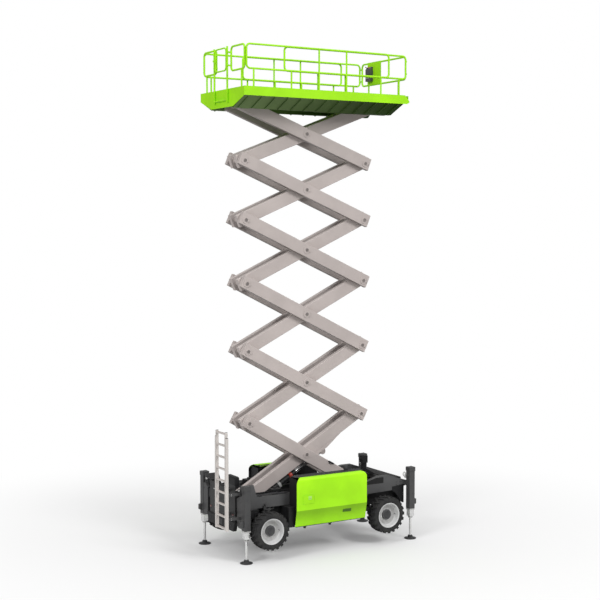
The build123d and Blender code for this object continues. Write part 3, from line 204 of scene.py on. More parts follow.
# -------- colours and finishes
LIME = (0.385, 0.860, 0.011)
LIME_TOP = (0.43, 1.0, 0.011)           # the covers' upper half catches more light
ARM_GREY = (0.525, 0.466, 0.444)
LADDER_GREY = (0.66, 0.62, 0.59)
CHARCOAL = (0.066, 0.066, 0.067)
# near black of black fittings, also used as painted shade between the chassis rails
NEAR_BLACK = (0.012, 0.012, 0.013)
OFF_WHITE = (0.60, 0.60, 0.60)
DUST = (0.42, 0.40, 0.36)

RAIL_Y = 0.800                          # outer faces of the side rails
HUB_R, DISH_R = 0.1125, 0.225           # hub cap and dish of a rim


def shade(colour, factor):
    return tuple(min(1.0, part * factor) for part in colour)


def painted(name, colour, gloss=0.32, coat=0.25, dust=0.25, wear=0.35, primer=(0.30, 0.29, 0.28), edge=0.003,
            shine=0.35, parts=()):
    """Sprayed enamel on steel: slight cloudiness, orange peel, dust on upward faces, rubbed edges.

    Each of parts gives (mask of a spot, colour of that part); a later part lies over an earlier one.
    """
    paint = Finish(name)
    rounded, edge_mask = paint.edges(edge)
    cloud = paint.noise(1.6, 4.0)
    fine = paint.noise(34.0, 5.0, 0.7)
    peel = paint.noise(420.0, 2.0)
    spot = Spot(paint)
    dusty = spot.nz.ramp(0.35, 0.95) * fine.ramp(0.38, 0.78) * dust
    rubbed = edge_mask * fine.ramp(0.50, 0.66) * wear
    base = paint.blend(cloud.ramp(0.30, 0.70), shade(colour, 0.93), shade(colour, 1.05))
    for mask, other in parts:
        base = paint.blend(mask(spot), base,
                           paint.blend(cloud.ramp(0.30, 0.70), shade(other, 0.9), shade(other, 1.1)))
    base = paint.blend(dusty, base, DUST)
    base = paint.blend(rubbed, base, primer)
    scuffs = paint.noise(9.0, 6.0, 0.75, stretch=(1.0, 1.0, 3.0)).ramp(0.52, 0.80)
    rough = gloss + scuffs * 0.10 + dusty * 0.5 + rubbed * 0.15 + cloud * 0.05
    return paint.set(Base_Color=base, Roughness=rough, Coat_Weight=coat, Coat_Roughness=0.12,
                     Specular_IOR_Level=shine, Normal=paint.bump(peel + fine * 0.4, 0.10, 0.0006, rounded))


def cast(name, colour, rough=0.6, metal=0.0):
    """Plain dark or bright castings and fasteners."""
    made = Finish(name)
    rounded, edge_mask = made.edges(0.0015)
    grain = made.noise(260.0, 3.0)
    stain = made.noise(14.0, 5.0, 0.7)
    base = made.blend(stain.ramp(0.35, 0.75), shade(colour, 0.85), shade(colour, 1.15))
    # painted highlight: edges lighter than the flats
    base = made.blend(edge_mask * 0.3, base, shade(colour, 1.9))
    return made.set(Base_Color=base, Metallic=metal, Roughness=rough + stain * 0.12 - edge_mask * 0.1,
                    Normal=made.bump(grain, 0.25, 0.0005, rounded))


def polished(name, colour=(0.80, 0.80, 0.80), rough=0.12):
    """Hard-chromed rod: faint rings of wiped oil and fine scratches along the stroke."""
    made = Finish(name)
    film = made.noise(5.0, 4.0, 0.6, stretch=(1.0, 1.0, 2.5))
    scratch = made.noise(90.0, 2.0, 0.5, stretch=(8.0, 8.0, 0.15))
    base = made.blend(film.ramp(0.4, 0.8), colour, shade(colour, 0.86))
    return made.set(Base_Color=base, Metallic=0.85, Normal=made.bump(scratch, 0.05, 0.0003),
                    Roughness=rough + film * 0.12 + scratch.ramp(0.6, 0.8) * 0.08)


def tread_rubber():
    """Tyre rubber: matt, greyer and dustier on the tread, fine pores and moulding marks."""
    made = Finish("tyre_rubber")
    pores = made.noise(520.0, 2.0)
    patch = made.noise(7.0, 5.0, 0.65)
    rounded, edge_mask = made.edges(0.004)
    base = made.blend(patch.ramp(0.35, 0.75), (0.021, 0.021, 0.022), (0.038, 0.037, 0.036))
    base = made.blend(edge_mask * patch.ramp(0.3, 0.7) * 0.6, base, (0.090, 0.088, 0.084))
    return made.set(Base_Color=base, Roughness=0.78 + patch * 0.14, Specular_IOR_Level=0.35,
                    Normal=made.bump(pores, 0.25, 0.0008, rounded))


def moulded(name, colour=(0.028, 0.028, 0.030), rough=0.55):
    """Moulded plastic or rubber with a fine grain."""
    made = Finish(name)
    grain = made.noise(700.0, 2.0)
    cloud = made.noise(18.0, 3.0)
    base = made.blend(cloud.ramp(0.3, 0.7), shade(colour, 0.9), shade(colour, 1.12))
    return made.set(Base_Color=base, Roughness=rough + cloud * 0.1, Normal=made.bump(grain, 0.3, 0.0004))


def rim_finish():
    """Off-white wheel disc with a dark hub cap, painted shade in the dish made uneven with grime, and rubbed
    lip.
    """
    made = Finish("wheel_rim_paint")
    across, _, height = made.axes()
    rear, front = pin("rear_right_wheel"), pin("front_right_wheel")
    at_rear = across < (rear.x + front.x) / 2
    from_axle = across - (at_rear * rear.x + (1.0 - at_rear) * front.x)
    radius = (from_axle ** 2.0 + (height - rear.z) ** 2.0) ** 0.5
    rounded, edge_mask = made.edges(0.003)
    grime = made.noise(22.0, 5.0, 0.7)
    # painted shade inside the dish, made uneven with grime
    shaded_dish = radius.ramp(0.120, 0.15) * (1.0 - radius.ramp(DISH_R - 0.030, DISH_R))
    base = made.blend(shaded_dish * (grime.ramp(0.30, 0.75) * 0.4 + 0.35), OFF_WHITE, (0.26, 0.25, 0.24))
    base = made.blend(edge_mask * grime.ramp(0.5, 0.7) * 0.4, base, (0.35, 0.35, 0.34))
    base = made.blend(radius < HUB_R, base, (0.075, 0.075, 0.078))
    return made.set(Base_Color=base, Roughness=0.38 + grime * 0.14, Coat_Weight=0.15, Coat_Roughness=0.2,
                    Normal=made.bump(made.noise(380.0), 0.10, 0.0006, rounded))


def chequer_floor(name, colour, top):
    """Painted tread plate: raised bars that alternate between two diagonals, worn pale on top.

    Upright faces, and the lips above a height, have the lime enamel.
    """
    made = Finish(name)
    x, y, z = made.axes()
    pitch = 0.030
    u, v = (x + y) / pitch, (x - y) / pitch
    cell_u, cell_v = u.math("FRACT", u) - 0.5, v.math("FRACT", v) - 0.5
    odd = (u.math("FLOOR", u) + v.math("FLOOR", v)) * 0.5
    turned = odd.math("FRACT", odd) > 0.25
    long_way = cell_u * turned + cell_v * (1.0 - turned)
    short_way = cell_v * turned + cell_u * (1.0 - turned)
    reach = (long_way * 1.15) ** 2.0 + (short_way * 4.2) ** 2.0
    bar = 1.0 - reach.ramp(0.10, 0.26)
    up = made.axes(made.normal())[2].ramp(0.5, 0.9) * (z < top)
    grime = made.noise(6.0, 6.0, 0.7)
    fine = made.noise(60.0, 4.0)
    worn = bar * up * grime.ramp(0.42, 0.68) * 0.55
    base = made.blend(grime.ramp(0.35, 0.75), shade(colour, 0.85), colour)
    base = made.blend(worn, base, (0.45, 0.47, 0.42))
    base = made.blend(up * (1.0 - bar) * fine.ramp(0.4, 0.75) * 0.35, base, (0.25, 0.24, 0.20))
    enamel = made.blend(made.noise(1.6, 4.0).ramp(0.30, 0.70), shade(LIME, 0.93), shade(LIME, 1.05))
    base = made.blend(up, enamel, base)
    return made.set(Base_Color=base, Roughness=0.38 + up * 0.10 + grime * 0.20, Coat_Weight=0.05,
                    Specular_IOR_Level=0.2, Normal=made.bump(bar * up, 0.7, 0.0022))


def clear_lens(name, colour):
    """Ribbed lamp or reflector lens."""
    made = Finish(name)
    ribs = made.node("ShaderNodeTexWave", {"bands_direction": "Z"}, {"Vector": made.place, "Scale": 60.0})
    return made.set(Base_Color=colour, Roughness=0.12 + ribs * 0.1, Coat_Weight=0.8, Coat_Roughness=0.05,
                    Normal=made.bump(ribs, 0.4, 0.001))


LIME_COAT = dict(gloss=0.36, coat=0.06, dust=0.06, wear=0.18, primer=(0.50, 0.52, 0.44), shine=0.2)
RAIL_COAT = dict(LIME_COAT, gloss=0.38, coat=0.05, dust=0.05, wear=0.15, edge=0.002)
ARM_COAT = dict(gloss=0.42, coat=0.05, dust=0.10, wear=0.22, primer=(0.33, 0.31, 0.30))

# where one node has more than one colour
left_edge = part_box("cover_left")[0].x + 0.045
stile_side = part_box("ladder")[0].x + 0.064          # the wall brackets lie beyond the ladder's stiles
COVER_PARTS = [
    (lambda at: at.z.ramp(1.20, 1.64) * (abs(at.ny) > 0.7) * (abs(at.y) > 1.1) * 0.8, LIME_TOP),
    (lambda at: (at.y > 0.0) * (at.x < left_edge), NEAR_BLACK),
    (lambda at: at.inward(), NEAR_BLACK),
    (lambda at: (at.y > -0.890) * (at.y < 0.0) * (at.z > 1.60), NEAR_BLACK),      # right cover's inner top edge
    # painted shade on the folded-in lower face, darkest up by the fold
    (lambda at: (1.0 - at.nz.ramp(-0.20, -0.08)) * (at.z.ramp(0.66, 0.985) * 0.75 + 0.10), shade(LIME, 0.52))]
# painted shade on the underframe: darker towards the front, faces looking forward and back a middle shade
UNDERFRAME_SHADE_PARTS = [
    (lambda at: at.x.ramp(-1.7, 1.9), (0.020, 0.050, 0.003)),
    (lambda at: abs(at.nx) > 0.6, (0.095, 0.170, 0.050))]
ARM_SHADE_PARTS = [
    # painted shade: darker undersides and faces toward the machine's middle
    (lambda at: 1.0 - at.nz.ramp(-0.75, -0.45), shade(ARM_GREY, 0.55)),     # undersides
    (lambda at: at.inward(), shade(ARM_GREY, 0.68))]
LADDER_PARTS = [(lambda at: at.x > stile_side, CHARCOAL)]
CHASSIS_PARTS = [
    # painted shade: faces between the side rails made near black
    (lambda at: 1.0 - abs(at.y).ramp(0.655, 0.685), NEAR_BLACK),                  # between the rails
    # painted shade: the frame's front end darker within the rails
    (lambda at: at.x.ramp(1.70, 1.82) * (abs(at.y) < 0.795), shade(CHARCOAL, 0.45)),
    # painted light: the rails' outer faces lighter than the rest of the charcoal
    (lambda at: at.on_rail(), shade(CHARCOAL, 1.38)),
    # painted shade where the rail's nose has a recess
    (lambda at: at.on_rail() * (at.z > 1.275) * (at.z < 1.405) * (at.x > 1.15) * (at.x < 1.610),
     shade(CHARCOAL, 0.12))]                                                # recess in the rail's nose

lime = painted("lime_enamel", LIME, **LIME_COAT)
lime_rail = painted("lime_rail_enamel", LIME, **RAIL_COAT)
cover_lime = painted("cover_enamel", LIME, parts=COVER_PARTS, **LIME_COAT)
# painted shade: the underframe is dark green for the shade under the platform
shaded_underframe = painted("underframe_painted_shade", (0.150, 0.225, 0.088), gloss=0.50, coat=0.0, dust=0.0, wear=0.2,
                      primer=(0.10, 0.16, 0.06), shine=0.05, parts=UNDERFRAME_SHADE_PARTS)
arm_paint = painted("arm_enamel", ARM_GREY, **ARM_COAT)
beam_paint = painted("arm_beam_enamel", ARM_GREY, parts=ARM_SHADE_PARTS, **ARM_COAT)
pin_grey = cast("pin_end", shade(ARM_GREY, 0.42), 0.45, 0.2)
ladder_paint = painted("ladder_enamel", LADDER_GREY, parts=LADDER_PARTS, **ARM_COAT)
charcoal = painted("chassis_enamel", CHARCOAL, gloss=0.45, coat=0.04, dust=0.12, wear=0.25,
                   primer=(0.13, 0.125, 0.12), parts=CHASSIS_PARTS)
# painted shade: the rear plate and wings get a darker copy of the chassis charcoal
rear_shaded_paint = painted("rear_plate_shaded_enamel", shade(CHARCOAL, 0.62), gloss=0.5, coat=0.02, dust=0.10, wear=0.25,
                     primer=(0.12, 0.115, 0.11), shine=0.3)
soot = painted("fitting_black", NEAR_BLACK, gloss=0.50, coat=0.02, dust=0.10, wear=0.2, primer=(0.08, 0.08, 0.08),
               shine=0.3)
pad_black = cast("pad_casting", (0.040, 0.040, 0.042), 0.62)
steel = cast("zinc_fastener", (0.56, 0.56, 0.55), 0.38, 0.8)
dark_steel = cast("blackened_steel", (0.075, 0.075, 0.078), 0.45, 0.5)
chrome = polished("rod_chrome")
bright = painted("pale_fitting", (0.52, 0.52, 0.51), gloss=0.40, coat=0.0, dust=0.1, wear=0.2)
rubber = tread_rubber()
latch_green = painted("latch_green", (0.075, 0.170, 0.020), gloss=0.5, coat=0.0, dust=0.0, wear=0.1,
                      shine=0.2)
lock_green = painted("lock_enamel", (0.46, 0.82, 0.16), gloss=0.35, coat=0.1, dust=0.0, wear=0.1, shine=0.3)
black_plastic = moulded("black_moulding")
grey_plastic = moulded("console_moulding", (0.085, 0.088, 0.095), 0.42)
signal_red = moulded("signal_red_moulding", (0.55, 0.045, 0.020), 0.38)
signal_orange = moulded("signal_orange_moulding", (0.62, 0.16, 0.020), 0.38)
rim_paint = rim_finish()
deck_plate = chequer_floor("deck_tread_plate", (0.30, 0.32, 0.28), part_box("deck")[1].z - 0.06)
pale_lens = clear_lens("pale_lens", (0.42, 0.42, 0.41))
red_lens = clear_lens("red_lens", (0.10, 0.008, 0.007))

# -------- finishes of the CAD nodes
NODE_FINISH = {name: finish for finish, names in (
    (charcoal, "frame rear_end jack_housings lift_barrel"),
    (soot, "rear_axle front_axle knuckle_right knuckle_left module_right module_left front_cover stack_rest"),
    (ladder_paint, "ladder"), (shaded_underframe, "deck_frame"), (lime_rail, "guard_rails gate extension_rails"),
    (lime, "control_panel"), (grey_plastic, "control_box"), (deck_plate, "deck extension_deck"),
    (chrome, "lift_rod"), (cover_lime, "cover_right cover_left")) for name in names.split()}
for name, node in frame["nodes"].items():
    finish = NODE_FINISH.get(name) or (
        beam_paint if "arm" in name else rim_paint if name.startswith("rim") else
        rubber if name.startswith("tyre") else pad_black if "pad" in name else chrome)
    node.data.materials.clear()
    node.data.materials.append(finish)


# -------- mesh building
UP, AHEAD, BACK = (0, 0, 1), (1, 0, 0), (-1, 0, 0)


def facing(normal, origin=(0, 0, 0), up=UP):
    """Frame whose third axis points along a normal; its second axis is as near to up as it can be."""
    third = Vector(normal).normalized()
    second = Vector(up) - third * third.dot(Vector(up))
    if second.length < 1e-6:
        second = Vector(AHEAD)
    second.normalize()
    first = second.cross(third)
    return Matrix.Translation(Vector(origin)) @ Matrix((first, second, third)).transposed().to_4x4()


def upright(x, y, z=0.0):
    """Frame that stands on a level spot."""
    return facing(UP, (x, y, z), AHEAD)


def from_behind(x, y=0.0, z=0.0):
    """Frame on an upright plane across the machine; its first axis runs towards -y, its second up."""
    return facing(BACK, (x, y, z))


def from_side(y):
    """Frame for outlines of (x, z) on an upright plane along the machine."""
    return facing((0, -1, 0), (0, y, 0))


def ring_of(count, radius, start=0.0):
    turns = [start + tau * k / count for k in range(count)]
    return [(radius * cos(turn), radius * sin(turn)) for turn in turns]


def rectangle(half_u, half_v):
    return [(-half_u, -half_v), (half_u, -half_v), (half_u, half_v), (-half_u, half_v)]


def scaled(outline, along, across):
    return [(u * along, v * across) for u, v in outline]


def placed(name, data, location=(0, 0, 0)):
    """New object in the scene."""
    thing = bpy.data.objects.new(name, data)
    thing.location = location
    bpy.context.scene.collection.objects.link(thing)
    return thing


class Shape:
    """Geometry of one piece, gathered in the frame's metres."""

    def __init__(self):
        self.mesh = bmesh.new()

    def points(self, places):
        return [self.mesh.verts.new(place) for place in places]

    def prism(self, outline, place, low, high):
        """Flat outline in the place's first two axes, from low to high along its third."""
        lower = self.points(place @ Vector((u, v, low)) for u, v in outline)
        upper = self.points(place @ Vector((u, v, high)) for u, v in outline)
        self.mesh.faces.new(lower[::-1])
        self.mesh.faces.new(upper)
        for i in range(len(outline)):
            j = (i + 1) % len(outline)
            self.mesh.faces.new((lower[i], lower[j], upper[j], upper[i]))
        return self

    def block(self, low, high):
        (x0, y0, z0), (x1, y1, z1) = low, high
        return self.prism([(x0, y0), (x1, y0), (x1, y1), (x0, y1)], Matrix(), z0, z1)

    def beside(self, side, x0, x1, y0, y1, z0, z1):
        """Block on one side of the machine; y counts outwards."""
        y0, y1 = sorted((side * y0, side * y1))
        return self.block((x0, y0, z0), (x1, y1, z1))

    def skin(self, loops):
        """Skin from each loop of points to the next, and from the last back to the first."""
        rings = [self.points(loop) for loop in loops]
        for a, b in zip(rings, rings[1:] + rings[:1]):
            for k in range(len(a)):
                n = (k + 1) % len(a)
                self.mesh.faces.new((a[k], a[n], b[n], b[k]))
        return self

    def lathe(self, profile, place, steps=32):
        """Profile of (radius, height) turned round the place's third axis; ends on the axis are closed."""
        rings = []
        for radius, height in profile:
            around = ring_of(steps, radius) if radius > 1e-6 else [(0, 0)]
            rings.append(self.points(place @ Vector((u, v, height)) for u, v in around))
        for a, b in zip(rings, rings[1:]):
            for k in range(steps):
                n = k + 1
                corners = dict.fromkeys((a[k % len(a)], b[k % len(b)], b[n % len(b)], a[n % len(a)]))
                if len(corners) > 2:
                    self.mesh.faces.new(tuple(corners))
        return self

    def bolt(self, place, size=0.012, washer=True):
        """Hexagon head with a washer, seated on the place's plane."""
        if washer:
            rim, thick = size * 1.25, size * 0.22
            self.lathe([(0, 0), (rim, 0), (rim, thick), (0, thick)], place, 16)
        return self.prism(ring_of(6, size, tau / 12), place, size * 0.15, size * 0.85)

    def bolts(self, normal, spots, size, up=UP):
        for spot in spots:
            self.bolt(facing(normal, spot, up), size)
        return self

    def rod(self, start, end, radius, steps=14):
        start, end = Vector(start), Vector(end)
        length = (end - start).length
        return self.lathe([(0, 0), (radius, 0), (radius, length), (0, length)],
                          facing(end - start, start, (0.1, 0.2, 1)), steps)

    def tube(self, points, radius, steps=12):
        """Rigid pipe through corner points, with a rounded joint at each bend."""
        for start, end in zip(points, points[1:]):
            self.rod(start, end, radius, steps)
        slant = radius * 0.7
        for bend in points[1:-1]:
            self.lathe([(0, -radius), (slant, -slant), (radius, 0), (slant, slant), (0, radius)],
                       upright(*bend), steps)
        return self

    def done(self, name, finish, body="chassis", slot="chassis_paint", bevel=0.0, smooth=35, segments=2):
        bmesh.ops.recalc_face_normals(self.mesh, faces=self.mesh.faces)
        data = bpy.data.meshes.new(name)
        self.mesh.to_mesh(data)
        self.mesh.free()
        for face in data.polygons:
            face.use_smooth = True
        data.set_sharp_from_angle(angle=radians(smooth))
        data.materials.append(finish)
        piece = placed(name, data)
        if bevel:
            rounding = piece.modifiers.new("rounding", "BEVEL")
            rounding.width, rounding.segments = bevel, segments
            rounding.limit_method, rounding.angle_limit = "ANGLE", radians(40)
            rounding.harden_normals = True
        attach(piece, body)
        return piece


# -------- wheels
HANDS = {"right": -1, "left": 1}
CORNERS = {f"{end}_{hand}": side for end in ("rear", "front") for hand, side in HANDS.items()}
TYRE_R, LUG_DEPTH, LUG_COUNT = 0.402, 0.024, 20
CROWN_R = TYRE_R - LUG_DEPTH
BEAD_R = 0.2545
SIDEWALL = [(BEAD_R, 0.1315), (0.272, 0.1315), (0.290, 0.1460), (0.310, 0.1495), (0.314, 0.1465),
            (0.320, 0.1495), (0.342, 0.1490), (CROWN_R - 0.018, 0.1400), (CROWN_R - 0.004, 0.1220),
            (CROWN_R, 0.0900)]
# (across the tread, lead along the tread, half thickness) from shoulder to centre
LUG_LINE = [(0.1475, 0.00, 0.030), (0.105, 0.012, 0.026), (0.055, 0.040, 0.021), (-0.012, 0.075, 0.015)]
# (radius, across the tread, half thickness) from the tread down the sidewall
SHOULDER_BLOCK = [(TYRE_R - 0.010, 0.1470, 0.028), (0.354, 0.1497, 0.022), (0.344, 0.1490, 0.020)]
SHOULDER_START = 0.11                   # where the lugs start to round off


def on_tread(place, radius, angle, across):
    return place @ Vector((radius * cos(angle), radius * sin(angle), across))


def lug(shape, place, row, turn):
    """One angled tread bar of a row, and its block on the shoulder."""
    top, base = [], []
    for edge in (1, -1):
        for across, lead, half in LUG_LINE[::edge]:
            angle = turn + (lead + edge * half) / TYRE_R
            shoulder = max(0.0, across - SHOULDER_START) / 0.04
            outer, inner = TYRE_R - 0.010 * shoulder ** 2, CROWN_R - 0.02 * shoulder - 0.004
            for loop, radius in ((top, outer), (base, inner)):
                loop += shape.points([on_tread(place, radius, angle, row * across)])
    shape.mesh.faces.new(top)
    shape.mesh.faces.new(base[::-1])
    for i in range(len(top)):
        j = (i + 1) % len(top)
        shape.mesh.faces.new((top[i], base[i], base[j], top[j]))
    block = []
    for radius, across, half in SHOULDER_BLOCK:
        for edge in (1, -1):
            angle = turn + edge * half / TYRE_R
            block.append(shape.points(on_tread(place, radius, angle, row * depth)
                                      for depth in (across, across - 0.020)))
    for a in (0, 2):
        p, q, r, s = block[a:a + 4]
        shape.mesh.faces.new((p[0], q[0], s[0], r[0]))
        shape.mesh.faces.new((p[0], r[0], r[1], p[1]))
        shape.mesh.faces.new((q[0], q[1], s[1], s[0]))


def tyre(corner, side):
    """Carcass with bead, rounded sidewalls with rings, and two staggered rows of angled lugs."""
    place = facing((0, side, 0), pin(f"{corner}_wheel"))
    section = [(r, -z) for r, z in SIDEWALL] + [(CROWN_R + 0.001, 0.0)] + SIDEWALL[::-1]
    section += [(0.2560, 0.0), (BEAD_R, -0.1315)]
    shape = Shape().lathe(section, place, 96)
    for row, stagger in ((1, 0.0), (-1, 0.5)):
        for k in range(LUG_COUNT):
            lug(shape, place, row, tau * (k + stagger) / LUG_COUNT)
    piece = shape.done(f"tyre_tread_{corner}", rubber, f"wheel_{corner}", "tyre", smooth=30)
    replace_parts(piece, f"tyre_{corner}")


def wheel_fittings(corner, side):
    """Wheel nuts, hub cap bolts, drain plug and valve."""
    centre = pin(f"{corner}_wheel")
    body = f"wheel_{corner}"
    face = facing((0, side, 0), centre + Vector((0, side * 0.022, 0)))
    nuts = Shape()
    for u, v in ring_of(10, 0.1265, radians(18)):
        nuts.bolt(face @ Matrix.Translation((u, v, 0.0)), 0.0100)
    nuts.done(f"wheel_nuts_{corner}", steel, body, "rim_paint")
    cap = facing((0, side, 0), centre + Vector((0, side * 0.054, 0)))
    hub = Shape().lathe([(0.084, 0), (0.084, 0.004), (0.060, 0.006), (0.055, 0.003), (0, 0.003)], cap, 40)
    for u, v in ring_of(8, 0.072, radians(10)):
        hub.bolt(cap @ Matrix.Translation((u, v, 0.005)), 0.006, False)
    hub.bolt(cap @ Matrix.Translation((0.0, 0.030, 0.003)), 0.009, False)
    hub.done(f"hub_cap_{corner}", dark_steel, body, "axle_paint")
    stem, neck, tip = (centre + Vector((0.196, side * reach, 0.0)) for reach in (0.030, 0.070, 0.082))
    Shape().rod(stem, neck, 0.0045).rod(neck, tip, 0.0065).done(
        f"valve_{corner}", black_plastic, body, "tyre")


for corner, side in CORNERS.items():
    tyre(corner, side)
    wheel_fittings(corner, side)

# -------- scissor stack
STAGES = 6
mast_x = pin("centre_pin_1").x
OUTER_ARM_Y, PIN_HEAD_Y = 0.307, 0.321
BUSH_Y = 0.0792                         # inner faces of the inner arms' bushes
PIN_CAP = [(0, 0), (0.036, 0), (0.036, 0.0035), (0.030, 0.005), (0.012, 0.005), (0.010, 0.0015), (0, 0.0015)]
KEEPER = [(-0.020, -0.028), (0.020, -0.028), (0.020, 0.020), (0.010, 0.028), (-0.010, 0.028), (-0.020, 0.020)]
BUSH_RING = [(0.046, 0.0), (0.058, 0.0), (0.058, 0.003), (0.046, 0.003), (0.046, 0.0)]


def opposite(spot):
    """The place as far in front of the stack's middle as a spot is behind it."""
    return Vector((2 * mast_x - spot.x, 0, spot.z))


for stage in range(1, STAGES + 1):
    first = pin("scissor") if stage == 1 else pin(f"end_pin_{stage}")
    centre = pin(f"centre_pin_{stage}")
    last = pin("platform_pin") if stage == STAGES else pin(f"end_pin_{stage + 1}")
    low, high = opposite(first), opposite(last)
    lean, rise = (low - last).normalized(), (high - first).normalized()
    # pin heads and keeper plates on the outer arms, save at the foot and the top of the stack
    keepers, caps = Shape(), Shape()
    for spot in ([] if stage == STAGES else [last]) + [centre] + ([] if stage == 1 else [low]):
        for side in (-1, 1):
            face = facing((0, side, 0), (spot.x, side * PIN_HEAD_Y, spot.z), lean)
            caps.lathe(PIN_CAP, face, 28)
            plate = face @ Matrix.Translation((0, 0.066, 0))
            keepers.prism(KEEPER, plate, -0.006, 0.001)
            for u in (-0.011, 0.011):
                keepers.bolt(plate @ Matrix.Translation((u, 0.006, 0.001)), 0.006)
    caps.done(f"pin_caps_{stage}", pin_grey, f"outer_arm_{stage}", "arm_paint")
    keepers.done(f"pin_keepers_{stage}", arm_paint, f"outer_arm_{stage}", "arm_paint", bevel=0.001)
    # bush rings inside the inner arms
    rings = Shape()
    for spot in [first, centre] + ([] if stage == STAGES else [high]):
        for side in (-1, 1):
            rings.lathe(BUSH_RING, facing((0, -side, 0), (spot.x, side * BUSH_Y, spot.z), rise), 28)
    rings.done(f"bush_rings_{stage}", dark_steel, f"inner_arm_{stage}")

# switch on the upper edge of the lowest arm, on the right side
low = opposite(pin("scissor"))
lean = (low - pin("end_pin_2")).normalized()
spot = low - lean * 0.965
edge = facing((0, -1, 0), (spot.x, -OUTER_ARM_Y, spot.z), lean)      # first axis down across the arm
switch = Shape().prism([(-0.150, -0.052), (-0.132, -0.066), (-0.110, -0.060), (-0.110, 0.056),
                        (-0.150, 0.066)], edge, -0.003, 0.022)
for v in (-0.040, 0.036):
    switch.bolt(edge @ Matrix.Translation((-0.122, v, 0.021)), 0.007)
switch.rod(edge @ Vector((-0.140, 0.060, 0.010)), edge @ Vector((-0.140, 0.092, 0.010)), 0.010)
switch.done("height_switch", black_plastic, "outer_arm_1", bevel=0.003)

# -------- lift cylinder
BARREL_R = 0.0785
foot = pin("barrel_pin")
stroke = Vector(joints["lift_stroke"]["axis"]).normalized()
GLAND = [(BARREL_R, -0.040), (0.0905, -0.040), (0.094, -0.034), (0.094, 0.034), (0.0905, 0.040),
         (BARREL_R, 0.040), (BARREL_R, -0.040)]
BAND = [(BARREL_R, -0.030), (0.083, -0.030), (0.083, 0.030), (BARREL_R, 0.030), (BARREL_R, -0.030)]
for name, finish, profile, reach in (("gland", signal_red, GLAND, 1.043), ("band", bright, BAND, 0.72)):
    Shape().lathe(profile, facing(stroke, foot + stroke * reach), 48).done(
        f"cylinder_{name}", finish, "lift_barrel", "arm_paint", bevel=0.001)
ports = Shape()
for reach in (0.182, 1.147):
    base = foot + stroke * reach
    ports.bolt(facing((0, 1, 0), base + Vector((0, 0.0985, 0))), 0.016)
    ports.rod(base + Vector((0, 0.11, 0)), base + Vector((0, 0.135, 0)), 0.011)
ports.done("cylinder_ports", steel, "lift_barrel", "arm_paint")

# -------- side covers
DOOR_HALF_W, DOOR_HALF_H, DOOR_CORNER = 0.132, 0.090, 0.018
DOOR_Z, LOCK_Z = 1.222, 1.250
FOLD_Z, FOLD_TUCK = 0.995, 0.070        # where the cover's face folds in, and by how much
LATCH_X, CAP_X = 0.43, 0.54
RIB_PITCH = 0.024
MAT_EDGES = {"right": (0.874, 1.085), "left": (0.874, 0.930)}
FILLER_CAP = [(0, -0.002), (0.046, -0.002), (0.046, 0.030), (0.054, 0.034), (0.054, 0.096), (0.046, 0.108),
              (0.020, 0.113), (0, 0.113)]
door_outline = []
for toward_u, toward_v, start in ((1, 1, 0), (-1, 1, 90), (-1, -1, 180), (1, -1, 270)):
    for turn in (0, 30, 60, 90):
        angle = radians(start + turn)
        door_outline.append((toward_u * (DOOR_HALF_W - DOOR_CORNER) + DOOR_CORNER * cos(angle),
                             toward_v * (DOOR_HALF_H - DOOR_CORNER) + DOOR_CORNER * sin(angle)))
